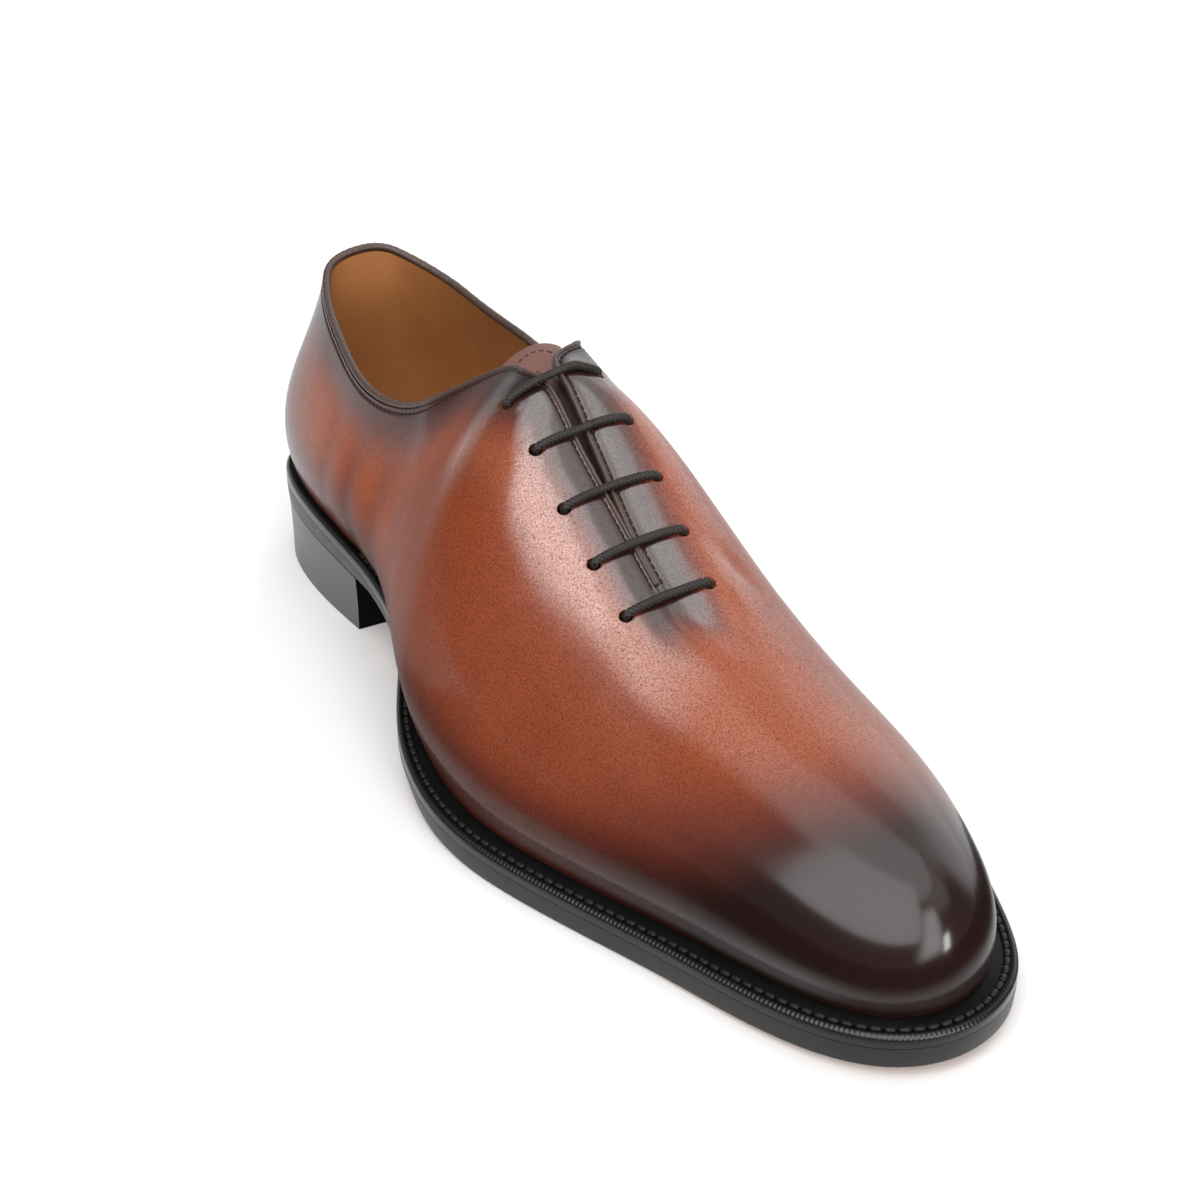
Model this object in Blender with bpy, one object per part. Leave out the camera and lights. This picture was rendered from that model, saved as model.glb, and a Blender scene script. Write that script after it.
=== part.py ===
"""Plain-toe oxford, right shoe: a wholecut upper on a welted leather sole with a stacked heel.

Tables and sizes are in millimetres and the scene is in metres. +X runs from heel to toe, +Y to the inner
(medial) side of the foot and +Z up. The shoe stands on z = 0.

Every piece is worked out from the same stations: twelve rows from the back of the heel (0) to the tip of
the toe (11), each with a lateral and a medial value. A station number s runs once round the shoe, down
the lateral side from 0 to 11 and back along the medial side from 11 to 22.
"""

import bmesh
import bpy
import numpy as np

MM = 0.001

TOE_ROW = 11
TURN = 2 * TOE_ROW
THROAT_ROW = 7
FACING_ROW = 5

OUTSOLE_THICKNESS = 5.4
WELT_THICKNESS = 3.5
SOLE_EDGE = OUTSOLE_THICKNESS + WELT_THICKNESS
WALL = 2.0
GAP = 0.3

HEEL_BREAST_X = 71.0
HEEL_TAPER = 0.3
WELT_REACH = 6.0
WELT_BEVEL = 1.2
EDGE_ROUND = 0.5
EDGE_BULGE_HEIGHT = 0.45
EDGE_BULGE_INSET = 0.3
INSOLE_RISE = 2.5
INSOLE_ROUND = 0.5
FLAT_INSET = 8.0

EYELET_FIRST_X = 135.0
EYELET_LAST_X = 191.5
EYELET_PAIRS = 5
EYELET_OFFSET = 14.0
EYELET_DIAMETER = 4.0

LACE_DIAMETER = 2.6
TONGUE_THICKNESS = 1.6
BINDING_WIDTH = 2.6
BINDING_HEIGHT = 2.2
BINDING_END_ROW = 4.94
BINDING_THINNING_ROWS = 0.5
BINDING_THINNING = 0.65

# A wall whose top lies nearly over its foot turns square to the edge. Past this distance in plan it starts
# to turn towards its foot, and it does so fully over the run that follows.
UPRIGHT_REACH = 6.0
UPRIGHT_RUN = 14.0

STEPS_PER_ROW = 4
WALL_STEPS = 12
WELT_SECTIONS = 68
RAND_SECTIONS = 29
HEEL_SIDE_SECTIONS = 15
BINDING_SECTIONS = 60
TONGUE_COLUMNS = 12
NUDGE = 0.01


def table(columns, rows):
    """A dict with one array for each named column."""
    return dict(zip(columns.split(), np.array(rows, float).T))


# Plan of the welt and outsole edge, the feather line's distance inside it, and how far the edge slants in
# at the bottom.
SOLE = table(
    "lat_x lat_y med_x med_y feather undercut",
    (
        (0, 0.0, 0, 0.0, 2.5, 0.2),
        (8.5, -24.5, 8, 24.0, 2.5, 0.2),
        (44, -32.5, 40, 33.5, 2.5, 0.2),
        (82, -33.0, 75, 30.5, 2.5, 1.6),
        (112, -39.5, 110, 25.0, 3.0, 2.4),
        (141, -51.5, 141, 31.5, 5.0, 1.2),
        (176, -56.5, 173, 42.5, 6.4, 0.3),
        (211, -48.8, 208, 49.5, 6.4, 0.2),
        (243.5, -37.0, 242, 50.0, 6.2, 0.2),
        (273, -27.5, 271.5, 41.0, 6.2, 0.2),
        (297, -14.0, 295, 27.5, 6.2, 0.2),
        (305, 6.5, 305, 6.5, 6.2, 0.2),
    ),
)

# Height of the outsole's underside: heel seat, arch, the flat tread under the ball, and toe spring.
UNDERSIDE = table(
    "x z",
    (
        (-10, 20.0),
        (0, 20.0),
        (40, 19.2),
        (75, 16.6),
        (110, 10.2),
        (145, 4.4),
        (178, 0.6),
        (194, 0.0),
        (226, 0.0),
        (255, 0.7),
        (282, 1.7),
        (305, 3.2),
        (320, 4.4),
    ),
)

# Upper edge of each wall section: collar to row 4, facing edge from 5 to 7, then the crest of the vamp.
CREST = table(
    "lat_x lat_y lat_z med_x med_y med_z",
    (
        (7.5, 2.0, 88.0, 7.5, 2.0, 88.0),
        (13, -11.0, 84.5, 11.5, 15.0, 86.0),
        (39, -19.5, 77.0, 37, 24.5, 80.0),
        (69.5, -23.5, 72.2, 67, 26.5, 78.0),
        (100.5, -20.0, 80.0, 98, 21.0, 84.5),
        (128.5, -4.6, 99.5, 127.5, 0.0, 102.0),
        (156.5, -4.2, 89.5, 156.5, -1.7, 89.9),
        (193, -3.5, 67.0, 193, -3.5, 67.0),
        (222, -0.2, 55.4, 222, -0.2, 55.4),
        (252.5, 4.0, 48.8, 252.5, 4.0, 48.8),
        (271, 7.0, 44.2, 271, 7.0, 44.2),
        (279, 8.5, 42.0, 279, 8.5, 42.0),
    ),
)

# Each wall section is a curve that leaves the feather line for a length "rise" at an outward lean in
# degrees, and reaches the crest over a length "reach" at a drop in degrees.
WALL_CURVE = table(
    "lat_rise lat_lean lat_reach lat_drop med_rise med_lean med_reach med_drop",
    (
        (23.0, 15, 21.5, 85, 23.0, 15, 21.5, 85),
        (24.0, 16, 21.5, 77, 22.5, 14, 21.5, 83),
        (22.0, 18, 19.5, 70, 20.0, 16, 20.0, 76),
        (19.0, 25, 20.0, 67, 18.0, 23, 20.0, 71),
        (20.0, 29, 24.0, 55, 20.0, 29, 24.5, 54),
        (28.0, 24, 26.0, 23, 33.0, 28, 28.0, 14),
        (29.5, 14, 27.5, 8, 34.0, 20, 30.5, -7),
        (25.5, 11, 27.0, 5, 29.0, 17, 29.0, -5),
        (23.0, 12, 25.0, 2, 25.5, 19, 26.5, -2),
        (19.0, 13, 21.0, 1, 22.0, 22, 23.0, -1),
        (17.5, 15, 16.5, 0, 19.5, 22, 17.5, 0),
        (17.0, 16, 15.5, 0, 17.0, 16, 15.5, 0),
    ),
)

# Tongue: rows from its free end, behind the facings' tops, down to its seam past the throat. Each row
# reaches "down" each side of the collar or slit, at a depth under the upper's outer face, and the rows of
# the rounded end are trimmed by a share at both sides.
TONGUE = table(
    "station down depth trim",
    (
        (4.62, 2.0, 4.5, 0.42),
        (4.65, 2.0, 4.5, 0.30),
        (4.71, 3.0, 4.7, 0.17),
        (4.80, 6.0, 5.0, 0.07),
        (4.90, 11.0, 5.3, 0.0),
        (5.05, 18.0, 5.3, 0.0),
        (5.5, 23.0, 5.3, 0.0),
        (6.0, 24.0, 5.3, 0.0),
        (6.5, 24.0, 5.3, 0.0),
        (7.0, 22.0, 5.3, 0.0),
        (7.25, 20.0, 3.6, 0.0),
        (7.5, 16.0, 2.35, 0.0),
        (7.65, 12.0, 2.35, 0.0),
    ),
)

# Half a lace bar, from the eyelet (share 1) to the slit (share 0): its height over the leather's outer face.
BAR = table(
    "share lift",
    (
        (1.0, -3.65),
        (1.0, -0.8),
        (0.94, 1.4),
        (0.7, 1.75),
        (0.35, 1.85),
        (0.0, 1.95),
    ),
)
LACE_UNDER = BAR["lift"][0]


def around(lateral, medial):
    """The rows' values once round the shoe: heel, lateral side, toe, medial side."""
    return np.concatenate([lateral, medial[-2:0:-1]])


def smooth(values, s):
    """A cubic curve round the shoe through one value for each whole station."""
    count = len(values)
    step = np.eye(count)
    bands = 4 * step + np.roll(step, 1, axis=1) + np.roll(step, -1, axis=1)
    weights = np.linalg.solve(bands, 6 * values)
    s = np.asarray(s, float)
    first = np.floor(s).astype(int)
    t = s - first
    blends = ((1 - t) ** 3, 3 * t**3 - 6 * t**2 + 4, -3 * t**3 + 3 * t**2 + 3 * t + 1, t**3)
    return sum(blend * weights[(first + k - 1) % count] for k, blend in enumerate(blends)) / 6


def ease(t):
    """0 below t = 0, 1 above t = 1, and a smooth step between."""
    t = np.clip(t, 0, 1)
    return t * t * (3 - 2 * t)


def hermite(start, end, start_slope, end_slope, t):
    """A cubic from start to end over t = 0 to 1, with the slopes given for that run."""
    return start + (end - start) * ease(t) + start_slope * t * (1 - t) ** 2 - end_slope * t * t * (1 - t)


def level(before, after):
    """The slope of a curve that never overshoots: the harmonic mean, or 0 where it turns."""
    product = before * after
    total = before + after
    return np.where(product > 0, 2 * product / np.where(total == 0, 1, total), 0)


def steady(values, s):
    """Like smooth, but never past the values themselves, so that the facing edges stay apart."""
    count = len(values)
    change = np.roll(values, -1) - values
    slope = level(np.roll(change, 1), change)
    s = np.asarray(s, float)
    first = np.floor(s).astype(int)
    here, after = first % count, (first + 1) % count
    return hermite(values[here], values[after], slope[here], slope[after], s - first)


def underside(x):
    """Height of the outsole's underside above the floor."""
    xs, zs = UNDERSIDE["x"], UNDERSIDE["z"]
    run = np.diff(xs)
    rate = np.diff(zs) / run
    slope = np.concatenate([rate[:1], level(rate[:-1], rate[1:]), rate[-1:]])
    k = np.clip(np.searchsorted(xs, x, side="right") - 1, 0, len(run) - 1)
    t = (x - xs[k]) / run[k]
    return hermite(zs[k], zs[k + 1], slope[k] * run[k], slope[k + 1] * run[k], t)


def sole_edge(s):
    """Plan of the welt's edge."""
    return np.stack(
        [smooth(around(SOLE[f"lat_{axis}"], SOLE[f"med_{axis}"]), s) for axis in "xy"], axis=-1
    )


def outward(s):
    """Unit vector in plan, square to the edge and away from the foot."""
    along = sole_edge(s + NUDGE) - sole_edge(s - NUDGE)
    across = np.stack([along[..., 1], -along[..., 0]], axis=-1)
    return across / np.linalg.norm(across, axis=-1, keepdims=True)


def sole_point(s, inset, height):
    """A point so far inside the edge and so far above the outsole's underside."""
    plan = sole_edge(s) - outward(s) * np.asarray(inset)[..., None]
    return np.concatenate([plan, (underside(plan[..., 0]) + height)[..., None]], axis=-1)


def feather_inset(s):
    return smooth(around(SOLE["feather"], SOLE["feather"]), s)


def undercut(s):
    return smooth(around(SOLE["undercut"], SOLE["undercut"]), s)


def edge_curve(s):
    """The table's upper edge on one side of the shoe."""
    curves = {"x": smooth, "y": steady, "z": smooth}
    return np.stack(
        [curve(around(CREST[f"lat_{axis}"], CREST[f"med_{axis}"]), s) for axis, curve in curves.items()],
        axis=-1,
    )


def crest(s):
    """The upper edge of the wall: collar, facing edge or, past the throat, the one crest of both sides."""
    s = np.asarray(s, float)
    row = np.abs((s + TOE_ROW) % TURN - TOE_ROW)
    joined = ease(row - (THROAT_ROW - 1))[..., None] / 2
    return edge_curve(s) * (1 - joined) + edge_curve(-s) * joined


def crest_slope(s):
    """Rise of the vamp's crest for each millimetre forward. The collar has none."""
    rows = np.arange(TOE_ROW + 1)
    forward = np.gradient(CREST["lat_x"] + CREST["med_x"])
    rise = np.gradient(CREST["lat_z"] + CREST["med_z"])
    facing = np.clip(rows - FACING_ROW + 0.5, 0, 1)
    slope = facing * rise / forward
    return smooth(around(slope, slope), s)


def upper_surface(s, v):
    """The upper's outer face at station s, from the feather line at v = 0 to its upper edge at v = 1."""
    s, v = np.broadcast_arrays(np.asarray(s, float), np.asarray(v, float))
    foot = sole_point(s, feather_inset(s), SOLE_EDGE + GAP)
    top = crest(s)
    rise, lean, reach, drop = (
        smooth(around(WALL_CURVE[f"lat_{name}"], WALL_CURVE[f"med_{name}"]), s)
        for name in ("rise", "lean", "reach", "drop")
    )
    lean, drop = np.radians(lean), np.radians(drop)
    out = outward(s)
    toward_foot = foot[..., :2] - top[..., :2]
    distance = np.linalg.norm(toward_foot, axis=-1, keepdims=True)
    share = ease((distance - UPRIGHT_REACH) / UPRIGHT_RUN)
    spread = share * toward_foot / np.maximum(distance, 1) + (1 - share) * out
    spread = spread / np.linalg.norm(spread, axis=-1, keepdims=True)
    low = foot.copy()
    low[..., :2] += (rise * np.sin(lean))[..., None] * out
    low[..., 2] += rise * np.cos(lean)
    high = top.copy()
    high[..., :2] += (reach * np.cos(drop))[..., None] * spread
    high[..., 2] += reach * (np.cos(drop) * spread[..., 0] * crest_slope(s) - np.sin(drop))
    v = v[..., None]
    return foot * (1 - v) ** 3 + 3 * low * v * (1 - v) ** 2 + 3 * high * v**2 * (1 - v) + top * v**3


def upper_normal(s, v):
    """Unit vector out of the upper's outer face."""
    s, v = np.broadcast_arrays(np.asarray(s, float), np.asarray(v, float))
    along = upper_surface(s + NUDGE, v) - upper_surface(s - NUDGE, v)
    up = upper_surface(s, np.minimum(v + NUDGE / 2, 1)) - upper_surface(s, v - NUDGE / 2)
    out = np.cross(along, up)
    return out / np.linalg.norm(out, axis=-1, keepdims=True)


def facing_point(station, across, lift):
    """A point over the facings: so far across from the slit along the leather, and lifted from it.

    Across is negative on the lateral side and positive on the medial side.
    """
    s = station if across <= 0 else TURN - station
    v = np.linspace(1, 0.3, 60)
    line = upper_surface(np.full(v.shape, s), v)
    run = np.concatenate([[0], np.cumsum(np.linalg.norm(np.diff(line, axis=0), axis=1))])
    at = np.interp(abs(across), run, v)
    return upper_surface(s, at) + upper_normal(s, at) * lift


def station_at_crest(x):
    """The station whose crest point lies at this x, between the facing's top and the vamp."""
    stations = np.linspace(FACING_ROW - 0.5, THROAT_ROW + 1, 200)
    return float(np.interp(x, crest(stations)[:, 0], stations))


def station_at_edge(x, medial):
    """The station where the sole's edge on that side lies at this x."""
    stations = np.linspace(1, TOE_ROW - 1, 400)
    if medial:
        stations = TURN - stations
    return float(np.interp(x, sole_edge(stations)[:, 0], stations))


def full_stations():
    return np.arange(TURN * STEPS_PER_ROW) / STEPS_PER_ROW


def eyelet_stations():
    return [station_at_crest(x) for x in np.linspace(EYELET_FIRST_X, EYELET_LAST_X, EYELET_PAIRS)]


def material(name, colour, roughness):
    made = bpy.data.materials.new(name)
    made.use_nodes = True
    shader = made.node_tree.nodes["Principled BSDF"]
    shader.inputs["Base Color"].default_value = (*colour, 1)
    shader.inputs["Roughness"].default_value = roughness
    shader.inputs["Metallic"].default_value = 0
    made.diffuse_color = (*colour, 1)
    return made


def solid(name, rings, closed_section, closed_path, finish):
    """An object from rings of points: each ring is joined to the next, and open ends are filled."""
    bm = bmesh.new()
    grid = [[bm.verts.new(point * MM) for point in ring] for ring in rings]
    width = len(grid[0])
    for row, after in zip(grid, grid[1:] + grid[:1] if closed_path else grid[1:]):
        for k in range(width if closed_section else width - 1):
            after_k = (k + 1) % width
            bm.faces.new((row[k], row[after_k], after[after_k], after[k]))
    if closed_section and not closed_path:
        bm.faces.new(grid[0][::-1])
        bm.faces.new(grid[-1])
    if closed_path and not closed_section:
        for column in (0, width - 1):
            ladder(bm, [row[column] for row in grid])
    bmesh.ops.remove_doubles(bm, verts=bm.verts, dist=1e-7)
    bmesh.ops.recalc_face_normals(bm, faces=bm.faces)
    return as_object(name, bm, finish)


def ladder(bm, loop):
    """Fills a loop that starts at the heel, side to side."""
    count = len(loop)
    bm.faces.new((loop[0], loop[1], loop[-1]))
    for k in range(1, (count - 1) // 2):
        bm.faces.new((loop[k], loop[k + 1], loop[-k - 1], loop[-k]))
    if count % 2 == 0:
        toe = count // 2
        bm.faces.new((loop[toe - 1], loop[toe], loop[toe + 1]))


def as_object(name, bm, finish):
    mesh = bpy.data.meshes.new(name)
    bm.to_mesh(mesh)
    bm.free()
    mesh.materials.append(finish)
    made = bpy.data.objects.new(name, mesh)
    bpy.context.collection.objects.link(made)
    return made


def thicken(sheet, thickness):
    """Gives a sheet its thickness on the side away from its normals."""
    modifier = sheet.modifiers.new("thickness", "SOLIDIFY")
    modifier.thickness = thickness * MM
    modifier.offset = -1
    modifier.use_even_offset = True
    modifier.use_quality_normals = True


def build_upper(finish):
    """One wall round the foot, joined along the vamp's crest and open along the slit and at the collar."""
    levels = np.linspace(0, 1, WALL_STEPS + 1)
    points = upper_surface(full_stations()[:, None], levels[None, :])
    bm = bmesh.new()
    grid = [[bm.verts.new(point * MM) for point in row] for row in points]
    for row, after in zip(grid, grid[1:] + grid[:1]):
        for k in range(WALL_STEPS):
            bm.faces.new((row[k], after[k], after[k + 1], row[k + 1]))
    bmesh.ops.remove_doubles(bm, verts=bm.verts, dist=1e-6)
    upper = as_object("upper", bm, finish)
    thicken(upper, WALL)
    cut = upper.modifiers.new("eyelets", "BOOLEAN")
    cut.operation = "DIFFERENCE"
    cut.solver = "EXACT"
    cut.object = eyelet_punch()
    return upper


def eyelet_punch():
    """Ten short pins that punch the eyelets, square to the leather."""
    sides = 14
    overlength = 1.5
    turn = 2 * np.pi * np.arange(sides) / sides
    bm = bmesh.new()
    for station in eyelet_stations():
        for across in (-EYELET_OFFSET, EYELET_OFFSET):
            low = facing_point(station, across, -WALL - overlength)
            high = facing_point(station, across, overlength)
            axis = (high - low) / np.linalg.norm(high - low)
            side = np.cross(axis, (1.0, 0.0, 0.0))
            side = side / np.linalg.norm(side)
            other = np.cross(axis, side)
            circle = np.outer(np.cos(turn), side) + np.outer(np.sin(turn), other)
            ends = [
                [bm.verts.new((end + ray * EYELET_DIAMETER / 2) * MM) for ray in circle]
                for end in (low, high)
            ]
            for k in range(sides):
                after = (k + 1) % sides
                bm.faces.new((ends[0][k], ends[0][after], ends[1][after], ends[1][k]))
            bm.faces.new(ends[0][::-1])
            bm.faces.new(ends[1])
    bmesh.ops.recalc_face_normals(bm, faces=bm.faces)
    punch = as_object("eyelet_punch", bm, material("punch", (0.5, 0.5, 0.5), 0.5))
    punch.hide_render = True
    punch.display_type = "WIRE"
    return punch


def build_binding(finish):
    """The rolled edge that lies along the collar, and thins out where it turns down the facings."""
    sides = 10
    turn = 2 * np.pi * np.arange(sides) / sides
    across, upright = np.cos(turn) * BINDING_WIDTH / 2, np.sin(turn) / 2
    stations = np.linspace(-BINDING_END_ROW, BINDING_END_ROW, BINDING_SECTIONS)
    out = upper_normal(stations, 1 - NUDGE / 2)
    up = np.cross(out, crest(stations + NUDGE) - crest(stations - NUDGE))
    up = up / np.linalg.norm(up, axis=-1, keepdims=True)
    to_end = (BINDING_END_ROW - np.abs(stations)) / BINDING_THINNING_ROWS
    height = BINDING_HEIGHT * (1 - BINDING_THINNING * (1 - ease(to_end)))
    middle = crest(stations) - out * WALL / 2 + up * (GAP + height / 2)[:, None]
    rings = [
        centre + np.outer(across, side) + np.outer(upright * tall, rise)
        for centre, side, rise, tall in zip(middle, out, up, height)
    ]
    return solid("collar_binding", rings, True, False, finish)


def instep_arch(station, down, depth, share):
    """A curve over the collar's mouth, from a point so far down inside one wall to the same on the other."""
    fullness = 0.9
    ends = [facing_point(station, side * down, -depth) for side in (-1, 1)]
    rises = [facing_point(station, side * (down - 1), -depth) - end for side, end in zip((-1, 1), ends)]
    chord = np.linalg.norm(ends[1] - ends[0])
    leave, arrive = (rise / np.linalg.norm(rise) * chord * fullness for rise in rises)
    return hermite(ends[0], ends[1], leave, -arrive, share[:, None])


def build_tongue(finish):
    """A sheet under the facings: its rounded end stands in the collar, its seam lies under the vamp."""
    rows = []
    for station, down, depth, trim in zip(*TONGUE.values()):
        if station < FACING_ROW:
            rows.append(instep_arch(station, down, depth, np.linspace(trim, 1 - trim, TONGUE_COLUMNS + 1)))
        else:
            across = np.linspace(-down, down, TONGUE_COLUMNS + 1)
            rows.append([facing_point(station, reach, -depth) for reach in across])
    sheet = solid("tongue", rows, False, False, finish)
    if sheet.data.polygons[0].normal.z < 0:
        sheet.data.flip_normals()
    thicken(sheet, TONGUE_THICKNESS)
    return sheet


def build_outsole(finish):
    """Full-length sole: square edge at the forepart, slanted in at the waist, flat tread under the ball."""
    s = full_stations()
    edge = np.zeros_like(s)
    inner = feather_inset(s) + FLAT_INSET
    cut = undercut(s)
    profile = (
        (inner, OUTSOLE_THICKNESS),
        (edge + EDGE_ROUND, OUTSOLE_THICKNESS),
        (edge, OUTSOLE_THICKNESS - EDGE_ROUND),
        (cut * EDGE_BULGE_INSET, OUTSOLE_THICKNESS * EDGE_BULGE_HEIGHT),
        (cut, EDGE_ROUND),
        (cut + EDGE_ROUND, 0),
        (inner, 0),
    )
    rings = np.stack([sole_point(s, inset, height) for inset, height in profile], axis=1)
    return solid("outsole", rings, False, True, finish)


def edge_strip(name, stations, finish):
    """A strip between upper and outsole that follows the edge, its outer corners taken off."""
    edge = np.zeros_like(stations)
    inner = feather_inset(stations) + WELT_REACH
    low, high = OUTSOLE_THICKNESS + GAP, SOLE_EDGE
    profile = (
        (inner, low),
        (edge + EDGE_ROUND, low),
        (edge, low + EDGE_ROUND),
        (edge, high - WELT_BEVEL),
        (edge + WELT_BEVEL, high),
        (inner, high),
    )
    rings = np.stack([sole_point(stations, inset, height) for inset, height in profile], axis=1)
    return solid(name, rings, True, False, finish)


def build_welt(finish):
    start = station_at_edge(HEEL_BREAST_X, medial=False)
    end = station_at_edge(HEEL_BREAST_X, medial=True)
    return edge_strip("welt", np.linspace(start, end, WELT_SECTIONS), finish)


def build_heel_rand(finish):
    start = station_at_edge(HEEL_BREAST_X - GAP, medial=True) - TURN
    end = station_at_edge(HEEL_BREAST_X - GAP, medial=False)
    return edge_strip("heel_rand", np.linspace(start, end, RAND_SECTIONS), finish)


def build_heel(finish):
    """Block under the heel seat with a straight breast, a little smaller at the floor."""
    start = station_at_edge(HEEL_BREAST_X, medial=True) - TURN
    end = station_at_edge(HEEL_BREAST_X, medial=False)
    lateral = np.linspace(0, end, HEEL_SIDE_SECTIONS)
    medial = np.linspace(start, 0, HEEL_SIDE_SECTIONS)[:-1]
    s = np.concatenate([lateral, medial])
    inset = undercut(s) + EDGE_ROUND
    top = sole_point(s, inset, -GAP)
    floor = sole_point(s, inset + HEEL_TAPER, 0)
    floor[:, 2] = 0
    floor[:, 0] = np.minimum(floor[:, 0], HEEL_BREAST_X - HEEL_TAPER)
    rings = np.stack([top, floor], axis=1)
    return solid("heel", rings, False, True, finish)


def build_insole(finish):
    """Board inside the upper, with its cork filling down to the outsole inside the welt."""
    s = full_stations()
    board = feather_inset(s) + WALL + 2 * GAP
    filling = feather_inset(s) + WELT_REACH + GAP
    middle = feather_inset(s) + FLAT_INSET
    seat = SOLE_EDGE + GAP
    profile = (
        (middle, seat + INSOLE_RISE),
        (board + INSOLE_ROUND, seat + INSOLE_RISE),
        (board, seat + INSOLE_RISE - INSOLE_ROUND),
        (board, seat),
        (filling, seat),
        (filling, OUTSOLE_THICKNESS + GAP),
        (middle, OUTSOLE_THICKNESS + GAP),
    )
    rings = np.stack([sole_point(s, inset, height) for inset, height in profile], axis=1)
    return solid("insole", rings, False, True, finish)


def bar_point(station, across, lift):
    """A point of the straight bar between the two eyelets at this station, over or under the leather."""
    ends = [facing_point(station, side * EYELET_OFFSET, 0.0) for side in (-1, 1)]
    middle = station_at_crest((ends[0][0] + ends[1][0]) / 2)
    share = abs(across) / EYELET_OFFSET
    return facing_point(middle + (station - middle) * share, across, lift)


def lace_route():
    """Up through an eyelet, over to the other side and down, then under to the next pair.

    The last end runs back under the slit, and both ends stop at the top eyelets.
    """
    shares = np.concatenate([BAR["share"], -BAR["share"][-2::-1]])
    lifts = np.concatenate([BAR["lift"], BAR["lift"][-2::-1]])
    stations = eyelet_stations()
    side = -1
    route = []
    for station in stations:
        for share, lift in zip(shares, lifts):
            route.append(bar_point(station, side * share * EYELET_OFFSET, lift))
        side = -side
    last = stations[-1]
    for back, share in ((0.05, 0.6), (0.15, 0.2)):
        route.append(facing_point(last - back, side * share * EYELET_OFFSET, LACE_UNDER))
    for station in np.linspace(last - 0.35, stations[0], 2 * EYELET_PAIRS):
        route.append(facing_point(station, 0.0, LACE_UNDER))
    return np.array(route)


def build_lace(finish):
    """A waxed round cord along the route."""
    curve = bpy.data.curves.new("lace", "CURVE")
    curve.dimensions = "3D"
    curve.bevel_depth = LACE_DIAMETER / 2 * MM
    curve.bevel_resolution = 2
    curve.use_fill_caps = True
    route = lace_route()
    spline = curve.splines.new("POLY")
    spline.points.add(len(route) - 1)
    for point, place in zip(spline.points, route):
        point.co = (*(place * MM), 1)
    curve.materials.append(finish)
    lace = bpy.data.objects.new("lace", curve)
    bpy.context.collection.objects.link(lace)
    return lace


def centre_over_origin(pieces):
    """Parents the pieces to one empty and moves it so that the shoe stands centred over the origin."""
    shoe = bpy.data.objects.new("shoe", None)
    bpy.context.collection.objects.link(shoe)
    for piece in pieces:
        piece.parent = shoe
    corners = np.array([corner for piece in pieces for corner in piece.bound_box])
    middle = (corners.min(axis=0) + corners.max(axis=0)) / 2
    shoe.location = (-middle[0], -middle[1], 0)


def main():
    for old in list(bpy.data.objects):
        bpy.data.objects.remove(old)
    calf = material("calf", (0.16, 0.055, 0.028), 0.3)
    dark_calf = material("dark_calf", (0.05, 0.018, 0.012), 0.4)
    tan = material("tan_leather", (0.42, 0.2, 0.075), 0.5)
    edge = material("edge_dressing", (0.012, 0.011, 0.011), 0.35)
    cord = material("waxed_cord", (0.014, 0.01, 0.009), 0.5)
    upper = build_upper(calf)
    pieces = [
        upper,
        build_binding(dark_calf),
        build_tongue(dark_calf),
        build_insole(tan),
        build_welt(edge),
        build_heel_rand(edge),
        build_outsole(edge),
        build_heel(edge),
        build_lace(cord),
    ]
    bpy.context.view_layer.update()
    punch = upper.modifiers["eyelets"].object
    centre_over_origin(pieces)
    punch.parent = upper.parent


main()
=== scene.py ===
# %% [markdown]
# # A wholecut oxford, dressed
# The solid model of the shoe is already the right size and stands in the right place. This lesson puts a
# finished surface over every solid: burnished calf, a rolled collar edge, a braided lace, a wheeled welt.
# Each surface is worked out with numpy from nearly the same tables as the solids, on a much finer grid.

# %% The frame
from contextlib import contextmanager

import bmesh
import bpy
import numpy as np
from mathutils import Matrix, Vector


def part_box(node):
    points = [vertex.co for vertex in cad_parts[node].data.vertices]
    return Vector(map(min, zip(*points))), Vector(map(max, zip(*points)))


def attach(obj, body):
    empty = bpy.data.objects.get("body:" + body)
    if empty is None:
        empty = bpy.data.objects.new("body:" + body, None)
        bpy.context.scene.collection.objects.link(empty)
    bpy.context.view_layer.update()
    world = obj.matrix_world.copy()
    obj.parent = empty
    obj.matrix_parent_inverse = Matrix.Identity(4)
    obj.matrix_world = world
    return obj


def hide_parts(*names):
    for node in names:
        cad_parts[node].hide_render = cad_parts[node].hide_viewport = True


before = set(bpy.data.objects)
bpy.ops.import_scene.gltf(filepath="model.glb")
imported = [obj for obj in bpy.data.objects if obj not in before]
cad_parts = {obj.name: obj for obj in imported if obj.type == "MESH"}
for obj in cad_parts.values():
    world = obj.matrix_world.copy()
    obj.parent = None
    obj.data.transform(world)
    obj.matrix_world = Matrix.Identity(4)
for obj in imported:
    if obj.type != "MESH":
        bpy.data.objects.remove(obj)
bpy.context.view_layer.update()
print("nodes to dress:", sorted(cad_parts))

# %% [markdown]
# ## Tables of the last
# A shoe is built on a last, a wooden foot. Twelve rows run from the back of the heel (0) to the tip of the
# toe (11), and each row has a lateral (outer) and a medial (inner) value in millimetres. A station number s
# runs once round the shoe: down the lateral side to 11, and back along the medial side to 22. A few rows
# and smooth curves between them are easier to correct than a sculpted mesh.

# %% Sizes and tables
MM = 0.001
TOE_ROW = 11
TURN = 2 * TOE_ROW
THROAT_ROW = 7
FACING_ROW = 5

OUTSOLE_THICKNESS = 5.4
WELT_THICKNESS = 3.5
SOLE_EDGE = OUTSOLE_THICKNESS + WELT_THICKNESS
GAP = 0.3
WALL = 2.0


def table(columns, *rows):
    """A dict with one array for each named column."""
    return dict(zip(columns.split(), np.array(rows, float).T))


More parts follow.
